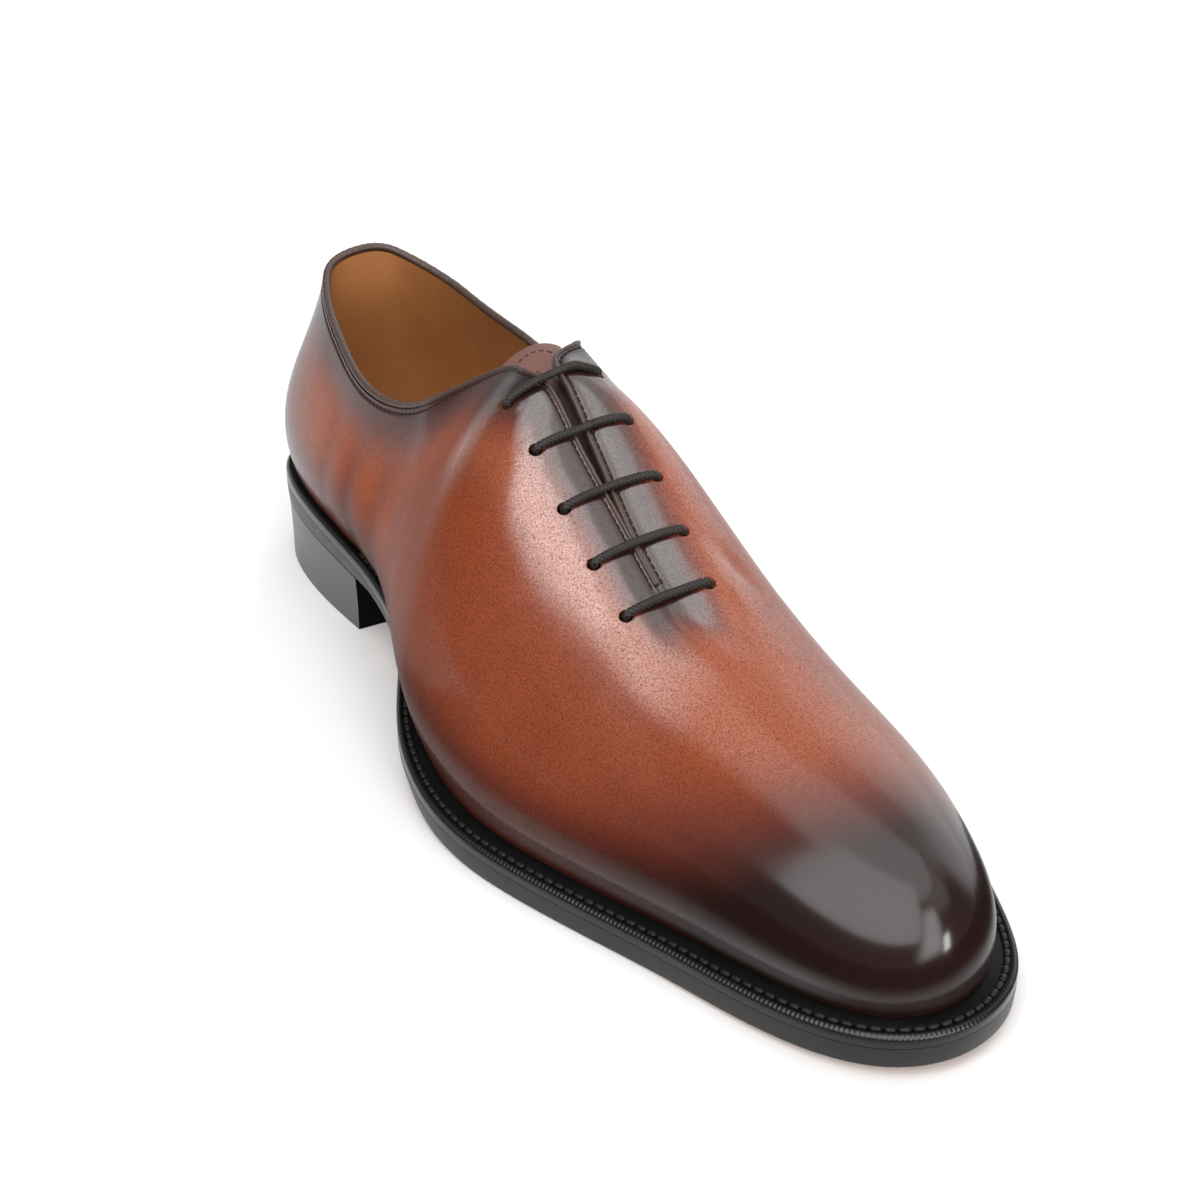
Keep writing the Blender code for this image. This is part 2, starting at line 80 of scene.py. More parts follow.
SOLE = table(
    "lat_x lat_y med_x med_y feather undercut",
    (0, 0.0, 0, 0.0, 2.5, 0.2),
    (8.5, -24.5, 8, 24.0, 2.5, 0.2),
    (44, -32.5, 40, 33.5, 2.5, 0.2),
    (82, -32.0, 75, 30.5, 2.5, 1.6),
    (112, -36.8, 110, 25.0, 3.0, 2.4),
    (141, -50.6, 141, 31.5, 5.0, 1.2),
    (176, -56.5, 173, 42.5, 6.4, 0.3),
    (211, -48.8, 208, 49.5, 6.4, 0.2),
    (243.5, -37.0, 242, 50.0, 6.2, 0.2),
    (273, -27.5, 271.5, 41.0, 6.2, 0.2),
    (297, -14.0, 295, 27.5, 6.2, 0.2),
    (305, 6.5, 305, 6.5, 6.2, 0.2),
)
UNDERSIDE = table(
    "x z",
    (-10, 20.0),
    (0, 20.0),
    (40, 19.2),
    (75, 16.6),
    (110, 10.2),
    (145, 4.4),
    (178, 0.6),
    (194, 0.0),
    (226, 0.0),
    (255, 0.7),
    (282, 1.7),
    (305, 3.2),
    (320, 4.4),
)
CREST = table(
    "lat_x lat_y lat_z med_x med_y med_z",
    (7.5, 2.0, 88.0, 7.5, 2.0, 88.0),
    (13, -11.0, 84.5, 11.5, 15.0, 86.0),
    (39, -19.5, 77.0, 37, 24.5, 80.0),
    (69.5, -23.5, 72.2, 67, 26.5, 78.0),
    (100.5, -20.0, 80.0, 98, 21.0, 84.5),
    (128.5, -4.4, 99.5, 127.5, -0.3, 102.0),
    (156.5, -4.35, 89.5, 156.5, -1.7, 89.9),
    (193, -3.5, 67.0, 193, -3.5, 67.0),
    (222, -0.2, 55.4, 222, -0.2, 55.4),
    (252.5, 4.0, 48.8, 252.5, 4.0, 48.8),
    (271, 7.9, 44.2, 271, 7.9, 44.2),
    (279, 8.5, 42.0, 279, 8.5, 42.0),
)
WALL_CURVE = table(
    "lat_rise lat_lean lat_reach lat_drop med_rise med_lean med_reach med_drop",
    (23.0, 15, 21.5, 85, 23.0, 15, 21.5, 85),
    (24.0, 16, 21.5, 77, 22.5, 14, 21.5, 83),
    (22.0, 18, 19.5, 70, 20.0, 16, 20.0, 76),
    (20.0, 30, 20.0, 67, 18.0, 23, 20.0, 71),
    (23.0, 39, 24.0, 55, 20.0, 29, 24.5, 54),
    (28.0, 29, 26.0, 16, 33.0, 28, 28.0, 14),
    (29.5, 14, 27.5, 8, 34.0, 20, 30.0, -7),
    (25.5, 11, 27.0, 5, 29.0, 15, 27.5, -5),
    (23.0, 10, 25.0, 2, 25.5, 12, 23.5, -1),
    (19.0, 9, 21.0, 1, 22.0, 12, 20.0, 0),
    (17.5, 9, 16.5, 0, 19.0, 11, 16.0, 0),
    (17.0, 9, 15.5, 0, 17.0, 9, 15.5, 0),
)

# %% [markdown]
# ## Curves through the rows
# Along the shoe, a cubic curve passes through one value for each row, so twelve rows give a smooth line.
# There are two kinds: a spline that swings freely, and a steadier one that never passes the rows' own values.


# %% Curves
def around(lateral, medial):
    """The rows' values once round the shoe: heel, lateral side, toe, medial side."""
    return np.concatenate([lateral, medial[-2:0:-1]])


def ease(t):
    """0 below t = 0, 1 above t = 1, and 3t^2 - 2t^3 between."""
    t = np.clip(t, 0, 1)
    return t * t * (3 - 2 * t)


def bump(distance, width):
    """A soft hump: e to the power of minus (distance / width) squared."""
    return np.exp(-((distance / width) ** 2))


def unit(vectors):
    return vectors / np.linalg.norm(vectors, axis=-1, keepdims=True)


def run_along(path):
    """Length along a path from its start to each of its points."""
    return np.concatenate([[0], np.cumsum(np.linalg.norm(np.diff(path, axis=0), axis=1))])


def smooth(values, s):
    """A cubic B-spline round the shoe that passes through one value for each whole station."""
    count = len(values)
    step = np.eye(count)
    bands = 4 * step + np.roll(step, 1, axis=1) + np.roll(step, -1, axis=1)
    weights = np.linalg.solve(bands, 6 * values)
    s = np.asarray(s, float)
    first = np.floor(s).astype(int)
    t = s - first
    blends = ((1 - t) ** 3, 3 * t**3 - 6 * t**2 + 4, -3 * t**3 + 3 * t**2 + 3 * t + 1, t**3)
    return sum(blend * weights[(first + k - 1) % count] for k, blend in enumerate(blends)) / 6


def hermite(start, end, start_slope, end_slope, t):
    """A cubic from start to end over t = 0 to 1, with the slopes given for that run."""
    return start + (end - start) * ease(t) + start_slope * t * (1 - t) ** 2 - end_slope * t * t * (1 - t)


def level(before, after):
    """The slope of a curve that never overshoots: the harmonic mean, or 0 where it turns."""
    product = before * after
    total = before + after
    return np.where(product > 0, 2 * product / np.where(total == 0, 1, total), 0)


def steady(values, s):
    """Like smooth, but never past the values themselves."""
    count = len(values)
    change = np.roll(values, -1) - values
    slope = level(np.roll(change, 1), change)
    s = np.asarray(s, float)
    first = np.floor(s).astype(int)
    here, after = first % count, (first + 1) % count
    return hermite(values[here], values[after], slope[here], slope[after], s - first)


# %% [markdown]
# ## The sole's edge
# The welt's outer edge is one closed curve in plan, and the underside is a height for each x. A point of the
# sole is then so far inside the edge and so far above the underside. Outsole, insole, welt and stitches are
# all made of such points.

# %% Sole's edge
NUDGE = 0.01


def underside(x):
    """Height of the outsole's underside above the floor."""
    xs, zs = UNDERSIDE["x"], UNDERSIDE["z"]
    run = np.diff(xs)
    rate = np.diff(zs) / run
    slope = np.concatenate([rate[:1], level(rate[:-1], rate[1:]), rate[-1:]])
    k = np.clip(np.searchsorted(xs, x, side="right") - 1, 0, len(run) - 1)
    t = (x - xs[k]) / run[k]
    return hermite(zs[k], zs[k + 1], slope[k] * run[k], slope[k + 1] * run[k], t)


def sole_edge(s):
    """Plan of the welt's edge."""
    columns = [around(SOLE[f"lat_{axis}"], SOLE[f"med_{axis}"]) for axis in "xy"]
    return np.stack([smooth(column, s) for column in columns], axis=-1)


def outward(s):
    """Unit vector in plan, square to the edge and away from the foot."""
    along = sole_edge(s + NUDGE) - sole_edge(s - NUDGE)
    return unit(np.stack([along[..., 1], -along[..., 0]], axis=-1))


def on_sole(plan, height):
    """A point over this place in plan, so far above the outsole's underside."""
    return np.concatenate([plan, (underside(plan[..., 0]) + height)[..., None]], axis=-1)


def inset_edge(s, inset):
    """Plan of a line so far inside the welt's edge."""
    return sole_edge(s) - outward(s) * np.asarray(inset)[..., None]


def sole_point(s, inset, height):
    """A point so far inside the edge and so far above the outsole's underside."""
    return on_sole(inset_edge(s, inset), height)


def feather_inset(s):
    return smooth(around(SOLE["feather"], SOLE["feather"]), s)


def undercut(s):
    return smooth(around(SOLE["undercut"], SOLE["undercut"]), s)


# %% [markdown]
# ## The wall
# Up the wall, each section is a cubic Bezier curve from the feather line, where the leather turns under, to
# the crest: the collar, the edge of the facing, or the top of the vamp. Two touches make it look worn: the
# facings' top corners are pulled round, and the lacing presses the leather flat beside the slit.

# %% Wall
UPRIGHT_REACH = 6.0
UPRIGHT_RUN = 14.0
HIGHEST_NORMAL = 0.97
EAR_POWER = 6
PRESSED = (0.7, 2.3)


def row_of(s):
    """The row that a station lies on, the same for both sides."""
    return np.abs((s + TOE_ROW) % TURN - TOE_ROW)


def edge_curve(s):
    """The table's upper edge on one side of the shoe."""
    curves = {"x": smooth, "y": steady, "z": smooth}
    columns = [curve(around(CREST[f"lat_{axis}"], CREST[f"med_{axis}"]), s) for axis, curve in curves.items()]
    return np.stack(columns, axis=-1)


def crest(s):
    """The upper edge of the wall: collar, facing edge or, past the throat, the one crest of both sides."""
    s = np.asarray(s, float)
    joined = ease(row_of(s) - (THROAT_ROW - 1))[..., None] / 2
    return edge_curve(s) * (1 - joined) + edge_curve(-s) * joined


def ear(s):
    """How far each facing's rounded top corner stands off the crest: a hump, wider towards the collar."""
    row = row_of(s)
    medial = np.asarray(s) % TURN > TOE_ROW
    shift = 0.0
    for side, middle, before, after, reach in (
        (medial, 4.93, 0.55, 0.2, (0.0, 12.0, -0.4)),
        (medial, 4.7, 0.45, 0.2, (0.0, 0.0, -3.2)),
        (~medial, 5.08, 0.32, 0.25, (0.0, -1.6, -1.3)),
    ):
        hump = bump(row - middle, np.where(row < middle, before, after))
        shift = shift + (side * hump)[..., None] * np.array(reach)
    return shift


def pressed(row, down):
    """How far the lacing has pressed the facings flat: most at the slit, little at the eyelets."""
    depth = PRESSED[0] + (PRESSED[1] - PRESSED[0]) * ease((row - 5.5) / 0.6)
    return -depth * bump(down, 8.5) * ease((row - 4.9) / 0.5) * ease((7.8 - row) / 0.7)


def crest_slope(s):
    """Rise of the vamp's crest for each millimetre forward. The collar has none."""
    rows = np.arange(TOE_ROW + 1)
    forward = np.gradient(CREST["lat_x"] + CREST["med_x"])
    rise = np.gradient(CREST["lat_z"] + CREST["med_z"])
    facing = np.clip(rows - FACING_ROW + 0.5, 0, 1)
    slope = facing * rise / forward
    return smooth(around(slope, slope), s)


def wall_surface(s, v):
    """The last's wall: a Bezier curve from the feather line (v = 0) to the crest (v = 1)."""
    s, v = np.broadcast_arrays(np.asarray(s, float), np.asarray(v, float))
    foot = sole_point(s, feather_inset(s), SOLE_EDGE + GAP)
    top = crest(s)
    rise, lean, reach, drop = (
        smooth(around(WALL_CURVE[f"lat_{name}"], WALL_CURVE[f"med_{name}"]), s)
        for name in ("rise", "lean", "reach", "drop")
    )
    lean, drop = np.radians(lean), np.radians(drop)
    out = outward(s)
    toward_foot = foot[..., :2] - top[..., :2]
    distance = np.linalg.norm(toward_foot, axis=-1, keepdims=True)
    share = ease((distance - UPRIGHT_REACH) / UPRIGHT_RUN)
    spread = unit(share * toward_foot / np.maximum(distance, 1) + (1 - share) * out)
    low = foot.copy()
    low[..., :2] += (rise * np.sin(lean))[..., None] * out
    low[..., 2] += rise * np.cos(lean)
    high = top.copy()
    high[..., :2] += (reach * np.cos(drop))[..., None] * spread
    high[..., 2] += reach * (np.cos(drop) * spread[..., 0] * crest_slope(s) - np.sin(drop))
    v = v[..., None]
    return foot * (1 - v) ** 3 + 3 * low * v * (1 - v) ** 2 + 3 * high * v**2 * (1 - v) + top * v**3


def upper_surface(s, v):
    """The upper's outer face: the wall, with the facings' corners rounded."""
    s, v = np.broadcast_arrays(np.asarray(s, float), np.asarray(v, float))
    return wall_surface(s, v) + ear(s) * v[..., None] ** EAR_POWER


def normal_of(surface, s, v):
    """Unit vector out of a surface: the cross product of its two directions."""
    s, v = np.broadcast_arrays(np.asarray(s, float), np.asarray(v, float))
    v = np.clip(v, NUDGE, HIGHEST_NORMAL)
    along = surface(s + NUDGE, v) - surface(s - NUDGE, v)
    up = surface(s, v + NUDGE / 2) - surface(s, v - NUDGE / 2)
    return unit(np.cross(along, up))


def wall_normal(s, v):
    return normal_of(wall_surface, s, v)


def upper_normal(s, v):
    return normal_of(upper_surface, s, v)


# %% [markdown]
# ## Places on the last
# Eyelets, lace and tongue are placed as a shoemaker would measure them: so far along the slit, and so far
# across the leather from it. The last step here finds how the tables' origin lies in the shared frame.


# %% Places on the last
def facing_point(station, across, lift):
    """A point over the facings: so far across from the slit along the leather, and lifted from it.

    Across is negative on the lateral side and positive on the medial side.
    """
    s = station if across <= 0 else TURN - station
    v = np.linspace(1, 0.3, 60)
    line = wall_surface(np.full(v.shape, s), v)
    at = np.interp(abs(across), run_along(line), v)
    lift = lift + pressed(station, abs(across))
    return wall_surface(s, at) + wall_normal(s, at) * lift


def station_at_crest(x):
    """The station whose crest point lies at this x, between the facing's top and the vamp."""
    stations = np.linspace(FACING_ROW - 0.5, THROAT_ROW + 1, 200)
    return float(np.interp(x, crest(stations)[:, 0], stations))


def station_at_edge(x, medial):
    """The station where the sole's edge on that side lies at this x."""
    stations = np.linspace(1, TOE_ROW - 1, 400)
    if medial:
        stations = TURN - stations
    return float(np.interp(x, sole_edge(stations)[:, 0], stations))


low_corner = sole_edge(np.linspace(0, TURN, 2000)).min(axis=0)
TO_ROW = np.append(np.array(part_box("outsole")[0])[:2] / MM - low_corner, 0.0)
print("last to frame, mm:", TO_ROW.round(2))

# %% [markdown]
# ## From arrays to meshes
# A surface is a grid of points. These helpers number the corners of its quads, put points and corners into a
# mesh with foreach_set, weld what coincides (poles, and the crest where both sides meet), and hand the piece
# to the body that carries it. Values that a finish needs, such as how dark the polish is, go along as a pair
# of numbers for each point in a map of their own.

# %% Mesh helpers
WELD = 1e-6


def quads(rows, columns, wrap_rows=False, wrap_columns=False):
    """Corner numbers of a grid's quads, facing (along the rows) x (along the columns)."""
    r, c = np.meshgrid(
        np.arange(rows if wrap_rows else rows - 1),
        np.arange(columns if wrap_columns else columns - 1),
        indexing="ij",
    )
    after_r, after_c = (r + 1) % rows, (c + 1) % columns
    corners = (r * columns + c, after_r * columns + c, after_r * columns + after_c, r * columns + after_c)
    return np.stack(corners, axis=-1).reshape(-1, 4)


def to_frame(points):
    """Millimetres on the last to metres in the shared frame."""
    return (np.asarray(points).reshape(-1, 3) + TO_ROW) * MM


@contextmanager
def opened(mesh):
    """The mesh as a bmesh to work on. What was changed is written back at the end."""
    bm = bmesh.new()
    bm.from_mesh(mesh)
    yield bm
    bm.to_mesh(mesh)
    bm.free()


def make_mesh(name, points, faces, pairs=None, weld=WELD):
    """A welded mesh with smooth faces. Pairs is a dict from a map's name to two numbers for each point."""
    mesh = bpy.data.meshes.new(name)
    mesh.vertices.add(len(points))
    mesh.vertices.foreach_set("co", points.astype(np.float32).ravel())
    mesh.loops.add(faces.size)
    mesh.loops.foreach_set("vertex_index", faces.astype(np.int32).ravel())
    mesh.polygons.add(len(faces))
    mesh.polygons.foreach_set("loop_start", np.arange(0, faces.size, 4, dtype=np.int32))
    mesh.update(calc_edges=True)
    for map_name, values in (pairs or {}).items():
        layer = mesh.uv_layers.new(name=map_name, do_init=False)
        layer.uv.foreach_set("vector", values.astype(np.float32)[faces.ravel()].ravel())
    with opened(mesh) as bm:
        bmesh.ops.remove_doubles(bm, verts=bm.verts, dist=weld)
        bmesh.ops.dissolve_degenerate(bm, edges=bm.edges, dist=WELD)
    mesh.shade_smooth()
    return mesh


def turn_out(mesh):
    """Makes a closed mesh's faces point outwards."""
    with opened(mesh) as bm:
        bmesh.ops.recalc_face_normals(bm, faces=bm.faces)
    return mesh


def closed_mesh(name, points, pairs=None, **wraps):
    """A closed mesh from a grid of points, wrapped along its rows or its columns."""
    return turn_out(make_mesh(name, to_frame(points), quads(*points.shape[:2], **wraps), pairs))


def tube(name, rings, middles, pairs=None):
    """A closed mesh from rings of points, drawn together to the first and the last ring's middle."""
    first, last = (np.repeat(middles[[k], None], rings.shape[1], axis=1) for k in (0, -1))
    return closed_mesh(name, np.concatenate([first, rings, last]), pairs, wrap_columns=True)


def link(name, data):
    """A new object for this mesh or camera, put into the scene."""
    made = bpy.data.objects.new(name, data)
    bpy.context.scene.collection.objects.link(made)
    return made


def place(mesh, finish, stands_for=()):
    """Links the mesh as a piece that rides on the shoe and, where it does, stands for solids."""
    mesh.materials.append(finish)
    piece = link(mesh.name, mesh)
    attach(piece, "root")
    if stands_for:
        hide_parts(*stands_for)
    print(f"{piece.name}: {len(mesh.polygons)} faces")
    return piece


def thicken(piece, thickness):
    """Gives a sheet its thickness on the side away from its normals."""
    modifier = piece.modifiers.new("thickness", "SOLIDIFY")
    modifier.thickness = thickness * MM
    modifier.offset = -1
    return piece


def settle(piece):
    """Applies the piece's modifiers to its mesh."""
    bpy.context.view_layer.update()
    graph = bpy.context.evaluated_depsgraph_get()
    settled = bpy.data.meshes.new_from_object(piece.evaluated_get(graph))
    settled.name = piece.name
    piece.modifiers.clear()
    old = piece.data
    piece.data = settled
    bpy.data.meshes.remove(old)
    return piece


# %% [markdown]
# ## Writing shaders as sums
# A finish is a few formulas: so much dark stain here, a little less gloss there. One small class wraps a
# node's output so that a formula in Python adds the Math nodes it needs. Every other node comes from its
# node method.


# %% Shader wires
class Wire:
    """One output of a node. Arithmetic on wires and numbers adds Math nodes."""

    def __init__(self, tree, socket=None):
        self.tree = tree
        self.socket = socket

    def node(self, kind, settings=None, sockets=None, output=0):
        """Adds a node, sets its settings and then its sockets, and returns one of its outputs."""
        made = self.tree.nodes.new(kind)
        for name, value in (settings or {}).items():
            if name == "stops":
                self.set_stops(made.color_ramp.elements, value)
            else:
                setattr(made, name, value)
        self.plug(made, sockets or {})
        return Wire(self.tree, made.outputs[output])

    def plug(self, node, sockets):
        for name, value in sockets.items():
            if isinstance(value, Wire):
                self.tree.links.new(value.socket, node.inputs[name])
            else:
                node.inputs[name].default_value = value

    @staticmethod
    def set_stops(elements, stops):
        while len(elements) < len(stops):
            elements.new(1.0)
        for element, (position, colour) in zip(elements, stops):
            element.position = position
            element.color = (*colour, 1)

    def math(self, operation, first, second):
        return self.node("ShaderNodeMath", {"operation": operation}, {0: first, 1: second})

    def __add__(self, other):
        return self.math("ADD", self, other)

    def __sub__(self, other):
        return self.math("SUBTRACT", self, other)

    def __rsub__(self, other):
        return self.math("SUBTRACT", other, self)

    def __mul__(self, other):
        return self.math("MULTIPLY", self, other)

    __radd__ = __add__
    __rmul__ = __mul__


# %% [markdown]
# ## Patterns
# Leather, thread and wax need the same few patterns: soft clouds, the rounded cells of a grain, smooth steps,
# a mix of two colours, and bumps that tilt the light. All of them are measured in millimetres on the piece.


# %% Patterns
def make_finish(name, look, *values):
    """A material whose shader's sockets come from look, a function of the piece's own coordinates."""
    made = bpy.data.materials.new(name)
    made.use_nodes = True
    where = Wire(made.node_tree).node("ShaderNodeTexCoord", output="Object")
    where.plug(made.node_tree.nodes["Principled BSDF"], look(where, *values))
    return made


def part(vector, axis):
    """One of a vector's three numbers."""
    return vector.node("ShaderNodeSeparateXYZ", None, {0: vector}, output=axis)


def stored(where, map_name, axis="X"):
    """One of the two numbers that a piece keeps for each point in a map."""
    return part(where.node("ShaderNodeUVMap", {"uv_map": map_name}), axis)


def cloud(where, size, detail=2.0, stretch=(1.0, 1.0, 1.0)):
    """A cloudy pattern from 0 to 1 whose blotches are about this many millimetres across."""
    moved = where.node("ShaderNodeMapping", None, {"Vector": where, "Scale": stretch})
    sockets = {"Vector": moved, "Scale": 1 / (size * MM), "Detail": detail}
    return where.node("ShaderNodeTexNoise", None, sockets)


def pebbles(where, size):
    """Distance to the nearest of many scattered points: the rounded cells of a leather's grain."""
    sockets = {"Vector": where, "Scale": 1 / (size * MM)}
    return where.node("ShaderNodeTexVoronoi", {"feature": "SMOOTH_F1"}, sockets)


def fade(value, low, high):
    """0 where the value is low, 1 where it is high, and a smooth step between."""
    sockets = {"Value": value, "From Min": low, "From Max": high}
    return value.node("ShaderNodeMapRange", {"interpolation_type": "SMOOTHSTEP"}, sockets)


def mixed(share, first, second):
    """A colour between two colours."""
    sockets = {0: share}
    for index, colour in ((6, first), (7, second)):
        sockets[index] = colour if isinstance(colour, Wire) else (*colour, 1)
    return share.node("ShaderNodeMix", {"data_type": "RGBA"}, sockets, output=2)


def raised(height, depth, strength=1.0):
    """A normal from a height pattern, so many millimetres deep."""
    sockets = {"Strength": strength, "Distance": depth * MM, "Height": height}
    return height.node("ShaderNodeBump", None, sockets)


# %% [markdown]
# ## The camera
# The camera comes early, because every later comparison depends on it. It stands where the photograph was
# taken from: ahead of the toe, on the outer side, about thirty degrees above the floor.

# %% Camera
CAMERA_AZIMUTH = -29.41
CAMERA_ELEVATION = 29.67
CAMERA_DISTANCE = 574.5
CAMERA_TARGET = np.array([145.41, 6.83, 36.03])
CAMERA_ROLL = -0.21
CAMERA_LENS = 66.0
CAMERA_SENSOR = 36.0


def direction(azimuth, elevation):
    """Unit vector from two angles in degrees."""
    azimuth, elevation = np.radians([azimuth, elevation])
    return (
        np.cos(elevation) * np.cos(azimuth),
        np.cos(elevation) * np.sin(azimuth),
        np.sin(elevation),
    )


def add_camera():
    back = np.array(direction(CAMERA_AZIMUTH, CAMERA_ELEVATION))
    roll = np.radians(CAMERA_ROLL)
    right = unit(np.cross(-back, (0.0, 0.0, 1.0)))
    up = np.cross(back, right)
    right, up = right * np.cos(roll) + up * np.sin(roll), up * np.cos(roll) - right * np.sin(roll)
    spot = to_frame(CAMERA_TARGET + back * CAMERA_DISTANCE)[0]
    matrix = np.eye(4)
    matrix[:3] = np.stack([right, up, back, spot], axis=1)
    data = bpy.data.cameras.new("camera")
    data.lens = CAMERA_LENS
    data.sensor_width = CAMERA_SENSOR
    data.clip_start = 0.01
    camera = link("camera", data)
    camera.matrix_world = Matrix(matrix.tolist())
    bpy.context.scene.camera = camera
    return spot


print("camera at, m:", add_camera().round(3))

# %% [markdown]
# ## Light
# A glossy dark shoe is mostly a picture of what surrounds it. A broad soft light overhead gives the pale
# sheen on the top of the vamp, a tall light ahead of the toe gives the bright end of the toe, a pale wall
# behind draws the light rim on the far side, and between them it stays dark, so the flank keeps its own
# colour. All of them are soft-edged shapes in the sky, which changes only with direction, so no lamp has to
# be hidden from the camera.

# %% Sky
CONES = table(
    "azimuth elevation inner outer strength",
    (0, 90, 18, 33, 2.5),
    (50, 60, 10, 32, 1.3),
    (120, 10, 18, 40, 1.9),
    (120, 50, 14, 40, 1.2),
    (180, 0, 14, 40, 0.7),
)
STRIPS = table(
    "azimuth half_width elevation half_height soft strength",
    (-57, 35, 52, 26, 5, 4.0),
    (-3, 6, 28, 18, 16, 5.0),
    (19, 3, 3, 12, 4, 16.0),
)
SKY_DARK = 0.2


def add_sky():
    """The brightest of the soft shapes in each direction: round cones, and upright strips."""
    world = bpy.data.worlds.new("studio")
    world.use_nodes = True
    tree = world.node_tree
    where = Wire(tree).node("ShaderNodeTexCoord", output="Generated")
    x, y, z = (part(where, axis) for axis in "XYZ")
    azimuth = x.math("ARCTAN2", y, x) * np.degrees(1.0)
    elevation = x.math("ARCSINE", z, 0.0) * np.degrees(1.0)
    glow = x * 0.0 + SKY_DARK
    for turn, tilt, inner, outer, strength in zip(*CONES.values()):
        dot = {"operation": "DOT_PRODUCT"}
        near = where.node("ShaderNodeVectorMath", dot, {0: where, 1: direction(turn, tilt)}, output="Value")
        cone = strength * fade(near, np.cos(np.radians(outer)), np.cos(np.radians(inner)))
        glow = glow.math("MAXIMUM", glow, cone)
    for turn, half_width, tilt, half_height, soft, strength in zip(*STRIPS.values()):
        aside = x.math("ABSOLUTE", azimuth - turn, 0.0)
        aloft = x.math("ABSOLUTE", elevation - tilt, 0.0)
        wide = fade(aside, half_width + soft, half_width)
        tall = fade(aloft, half_height + soft, half_height)
        glow = glow.math("MAXIMUM", glow, strength * wide * tall)
    glow.plug(tree.nodes["Background"], {"Color": (1.0, 1.0, 1.0, 1.0), "Strength": glow})
    bpy.context.scene.world = world


add_sky()
bpy.context.scene.view_settings.view_transform = "Standard"
print("soft lights in the sky:", len(CONES["strength"]) + len(STRIPS["strength"]))

# %% [markdown]
# ## Floor
# The floor is white paper. A black card lies on it just ahead of the picture, as studios do it, so that the
# toe mirrors only the strip of white floor next to it. The camera does not see the card.

# %% Floor and card
FLOOR_SIZE = 6.0
FLOOR_DROP = 0.0001
CARD_STATIONS = (3.0, 14.5)
CARD_REACH = (8.0, 36.0, 300.0, 1500.0)
CARD_LIFT = 0.2
PAPER = (0.7, 0.7, 0.7)


def paper_look(where):
    tone = mixed(cloud(where, 40.0), PAPER, (0.72, 0.72, 0.72))
    return {"Base Color": tone, "Roughness": 0.7, "Specular IOR Level": 0.2}


def card_look(where):
    """Black, fading to paper along the inner edge."""
    black = mixed(cloud(where, 60.0), (0.012, 0.012, 0.012), (0.02, 0.02, 0.02))
    tone = mixed(fade(stored(where, "edge"), 0.0, 1.0), black, PAPER)
    return {"Base Color": tone, "Roughness": 0.9, "Specular IOR Level": 0.0}


def add_floor():
    side = np.linspace(-FLOOR_SIZE / 2, FLOOR_SIZE / 2, 9)
    x, y = np.meshgrid(side, side, indexing="ij")
    points = np.stack([x, y, np.full_like(x, -FLOOR_DROP)], axis=-1).reshape(-1, 3)
    mesh = make_mesh("floor", points, quads(len(side), len(side)))
    mesh.materials.append(make_finish("white_paper", paper_look))
    floor = link("floor", mesh)


def add_card():
    """A ring sector on the floor round the sole, white at its inner edge, seen only in reflections."""
    s = np.linspace(*CARD_STATIONS, 60)
    plan = inset_edge(s[:, None], -np.array([CARD_REACH]))
    points = np.concatenate([plan, np.full((*plan.shape[:2], 1), CARD_LIFT)], axis=-1)
    shares = np.broadcast_to([[1, 0]] + [[0, 0]] * (len(CARD_REACH) - 1), (*plan.shape[:2], 2))
    mesh = make_mesh("card", to_frame(points), quads(*points.shape[:2]), {"edge": shares.reshape(-1, 2)})
    mesh.materials.append(make_finish("black_card", card_look))
    card = link("card", mesh)
    card.visible_camera = False
    card.visible_diffuse = False
    card.visible_shadow = False


add_floor()
add_card()
print("floor and card are down")

# %% [markdown]
# ## Eyelets
# Five pairs of plain punched eyelets hold the lace. Their places are needed by the leather, which rises in a
# small rim round each hole, and by the lace.

# %% Eyelet places
EYELET_FIRST_X = 135.0
EYELET_LAST_X = 191.5
EYELET_PAIRS = 5
EYELET_OFFSETS = (13.0, 13.4, 14.0, 14.0, 13.1)
EYELET_DIAMETER = 3.5

eyelet_stations = [station_at_crest(x) for x in np.linspace(EYELET_FIRST_X, EYELET_LAST_X, EYELET_PAIRS)]


def eyelet_offset(station):
    """Distance from the slit to the eyelets at a station."""
    return float(np.interp(station, eyelet_stations, EYELET_OFFSETS))


def eyelet_point(station, side, lift=0.0):
    """The middle of an eyelet on the lateral (-1) or medial (1) side, lifted from the leather."""
    return facing_point(station, side * eyelet_offset(station), lift)


eyelet_places = [(station, side) for station in eyelet_stations for side in (-1, 1)]
eyelets = np.array([eyelet_point(station, side) for station, side in eyelet_places])
print("eyelets at, mm:", eyelets.round(0).tolist())

# %% [markdown]
# ## The upper: relief
# The upper is one piece of calf. Its broad form comes from the tables. On top of that lies what handwork
# leaves: a folded bead along the slit with a stitch groove beside it, a groove under the collar's edge, a rim
# round each eyelet, a dimple where the lowest bar pulls, and soft upright hollows behind the ankle. Each is a
# hump or trough added along the surface normal, so it is real shape and not only shading.

# %% Relief of the upper
STATIONS_PER_ROW = 20
SIDE_LEVELS = 62
EDGE_LEVELS = 36
EDGE_START = 0.9
LEATHER = 1.2
SLIT_STITCH = 1.75
COLLAR_STITCH = 1.2


def stations_round(per_row):
    """Stations once round the shoe, closer together where the medial facing's corner turns."""
    even = np.arange(TURN * per_row) / per_row
    return np.union1d(even, TURN - np.linspace(4.8, 5.3, 31)).round(6)


